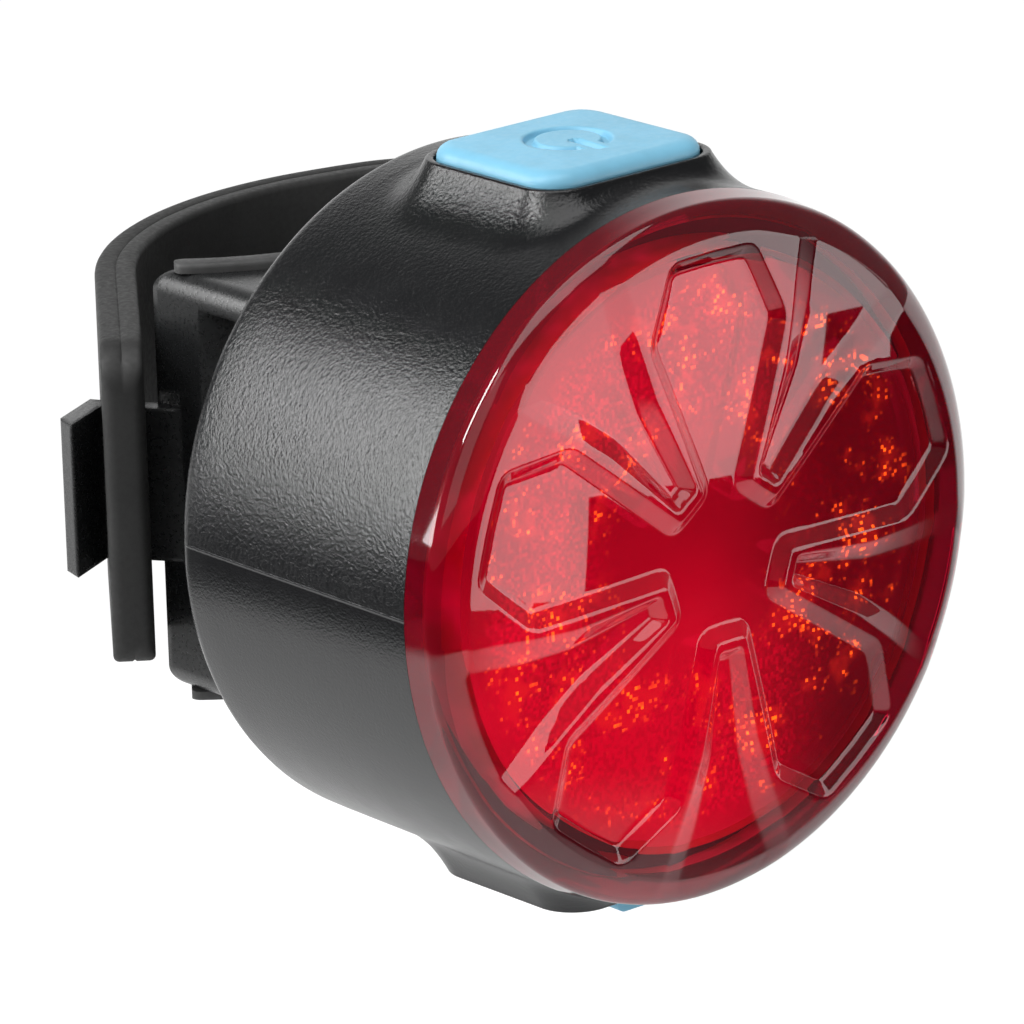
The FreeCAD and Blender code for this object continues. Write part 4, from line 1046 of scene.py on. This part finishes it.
# The other lamps: place, aim, size, power and turn about their own axis in degrees.
LAMPS = (
    ("left rear softbox", (-0.126, 0.079, 0.062), (-0.02, -0.02, 0.016), (0.052, 0.125), 0.19, 24.0),
    ("left softbox", (-0.15, -0.01, 0.15), (-0.012, -0.033, 0.016), (0.045, 0.08), 0.2, 0.0),
    ("top softbox", (-0.05, -0.12, 0.42), LENS_MIDDLE, (0.4, 0.4), 1.1, 0.0),
    ("front left fill", (-0.32, -0.25, 0.22), LENS_MIDDLE, (0.3, 0.3), 0.2, 0.0),
)
# Fitted to the photograph: angles in degrees, distance and the aim's place in the picture in millimetres.
CAMERA_AZIMUTH, CAMERA_ELEVATION, CAMERA_ROLL = -40.61, 17.53, -1.66
CAMERA_AWAY = 438.3
CAMERA_AIM = (-9.26, 2.19)
FOCAL_PIXELS, PICTURE_PIXELS, SENSOR = 8000, 1024, 36.0


def lamp(name, place, aim, size, power, roll=0.0):
    """Rectangular soft lamp at a place, facing an aim, turned about its own axis."""
    data = bpy.data.lights.new(name, "AREA")
    data.shape = "RECTANGLE"
    data.size, data.size_y = size
    data.energy = power
    made = bpy.data.objects.new(name, data)
    bpy.context.scene.collection.objects.link(made)
    toward = (Vector(aim) - Vector(place)).normalized()
    turned = toward.to_track_quat("-Z", "Y").to_matrix().to_4x4() @ Matrix.Rotation(math.radians(roll), 4, "Z")
    made.matrix_world = Matrix.Translation(place) @ turned


def camera():
    """Camera at the photograph's angle, with a long lens."""
    turn, lift, roll = (math.radians(a) for a in (CAMERA_AZIMUTH, CAMERA_ELEVATION, CAMERA_ROLL))
    back = Vector((math.sin(turn) * math.cos(lift), -math.cos(turn) * math.cos(lift), math.sin(lift)))
    right = Vector((math.cos(turn), math.sin(turn), 0.0))
    up = back.cross(right)
    target = right * CAMERA_AIM[0] + up * CAMERA_AIM[1] + Vector((0.0, JOINT_Y, 0.0))
    side = right * math.cos(roll) + up * math.sin(roll)
    top = up * math.cos(roll) - right * math.sin(roll)
    data = bpy.data.cameras.new("camera")
    data.sensor_width = SENSOR
    data.lens = FOCAL_PIXELS / PICTURE_PIXELS * SENSOR
    data.clip_start = 0.01
    data.clip_end = 20.0
    made = bpy.data.objects.new("camera", data)
    bpy.context.scene.collection.objects.link(made)
    turned = Matrix((side, top, back)).transposed().to_4x4()
    made.matrix_world = Matrix.Translation((target + back * CAMERA_AWAY) * MM) @ turned
    bpy.context.scene.camera = made


def seen_behind(tree, behind):
    """1 for camera rays, and the value behind for rays that gloss mirrors or clear plastic lets through."""
    rays = values_of(add_node(tree, "LightPath"))
    other = rays["Is Glossy Ray"] + rays["Is Transmission Ray"]
    return math_node(tree, "ADD", rays["Is Camera Ray"], other * behind, clamp=True)


def floor(colour):
    """Pale floor below the object, which keeps its shadow, and fades into the background further out."""
    half = 4
    corners = [(x * half, y * half, FLOOR_Z) for x, y in ((-1, -1), (1, -1), (1, 1), (-1, 1))]
    mesh = bpy.data.meshes.new("floor")
    mesh.from_pydata(corners, [], [(0, 1, 2, 3)])
    material, tree, surface = new_material("Floor")
    spot = place(tree)
    away = vector_node(tree, "DISTANCE", spot, (0.0, LENS_MIDDLE[1], FLOOR_Z))
    front = vector_node(tree, "DOT_PRODUCT", spot, MIRRORED).ramp(0.07, 0.11)
    far = math_node(tree, "MAXIMUM", away.ramp(0.105, 0.13), front)
    behind = vector_node(tree, "DOT_PRODUCT", spot, BEHIND).ramp(0.0, 0.1)
    pale = noise(tree, 40.0).mix(shade_of(colour, 0.98), colour)
    feed(surface, {
        "Base Color": far.mix(pale, (0.035, 0.035, 0.035, 1.0)),
        "Roughness": 0.9,
        "Specular IOR Level": 0.0,
        "Emission Color": WHITE,
        "Emission Strength": seen_behind(tree, behind) * (far * 0.55 + 0.45),
    })
    mesh.materials.append(material)
    made = bpy.data.objects.new("floor", mesh)
    bpy.context.scene.collection.objects.link(made)


def backdrop():
    """World that is dim round the object and white behind it."""
    world = bpy.data.worlds.new("studio")
    bpy.context.scene.world = world
    world.use_nodes = True
    tree = world.node_tree
    behind = vector_node(tree, "DOT_PRODUCT", place(tree, "Generated"), BEHIND).ramp(0.62, 0.93)
    strength = seen_behind(tree, behind) * 0.86 + 0.14
    feed(tree.nodes["Background"].inputs, {"Color": WHITE, "Strength": strength})


class TAILLIGHT_OT_stage(bpy.types.Operator):
    """Floor, soft lamps, world and camera"""

    bl_idname = "tail_light.stage"
    bl_label = "Stage"

    def execute(self, context):
        camera()
        floor(tuple(colours().floor))
        backdrop()
        toward = Vector((math.sin(FRONT_TURN), -math.cos(FRONT_TURN), 0.0))
        across = Vector((math.cos(FRONT_TURN), math.sin(FRONT_TURN), 0.0))
        for name, sideways, height, size, power in FRONT_LAMPS:
            aim = Vector(LENS_MIDDLE) + across * sideways + Vector((0.0, 0.0, height))
            lamp(name, aim + toward * FRONT_AWAY, aim, size, power)
        for settings in LAMPS:
            lamp(*settings)
        context.scene.view_settings.view_transform = "Standard"
        return {"FINISHED"}


class TAILLIGHT_PT_panel(bpy.types.Panel):
    """Sizes, colours and steps of the tail light"""

    bl_label = "Tail light"
    bl_idname = "TAILLIGHT_PT_panel"
    bl_space_type = "VIEW_3D"
    bl_region_type = "UI"
    bl_category = "Tail light"

    def draw(self, context):
        for group in (sizes(), colours()):
            for name in group.__annotations__:
                self.layout.prop(group, name)
        for step in STEPS:
            self.layout.operator(step.bl_idname)


STEPS = (
    TAILLIGHT_OT_lens, TAILLIGHT_OT_housing, TAILLIGHT_OT_key, TAILLIGHT_OT_strap, TAILLIGHT_OT_small_parts,
    TAILLIGHT_OT_stage,
)
CLASSES = (TailLightSizes, TailLightColours) + STEPS + (TAILLIGHT_PT_panel,)


def register():
    """Registers the classes and hangs the sizes and colours on the scene."""
    for item in CLASSES:
        bpy.utils.register_class(item)
    bpy.types.Scene.tail_light_sizes = PointerProperty(type=TailLightSizes)
    bpy.types.Scene.tail_light_colours = PointerProperty(type=TailLightColours)


def unregister():
    """Takes them away again."""
    del bpy.types.Scene.tail_light_colours
    del bpy.types.Scene.tail_light_sizes
    for item in reversed(CLASSES):
        bpy.utils.unregister_class(item)


def main():
    """Builds everything."""
    register()
    steps = bpy.ops.tail_light
    for step in (steps.lens, steps.housing, steps.key, steps.strap, steps.small_parts, steps.stage):
        step()


if __name__ == "__main__":
    main()
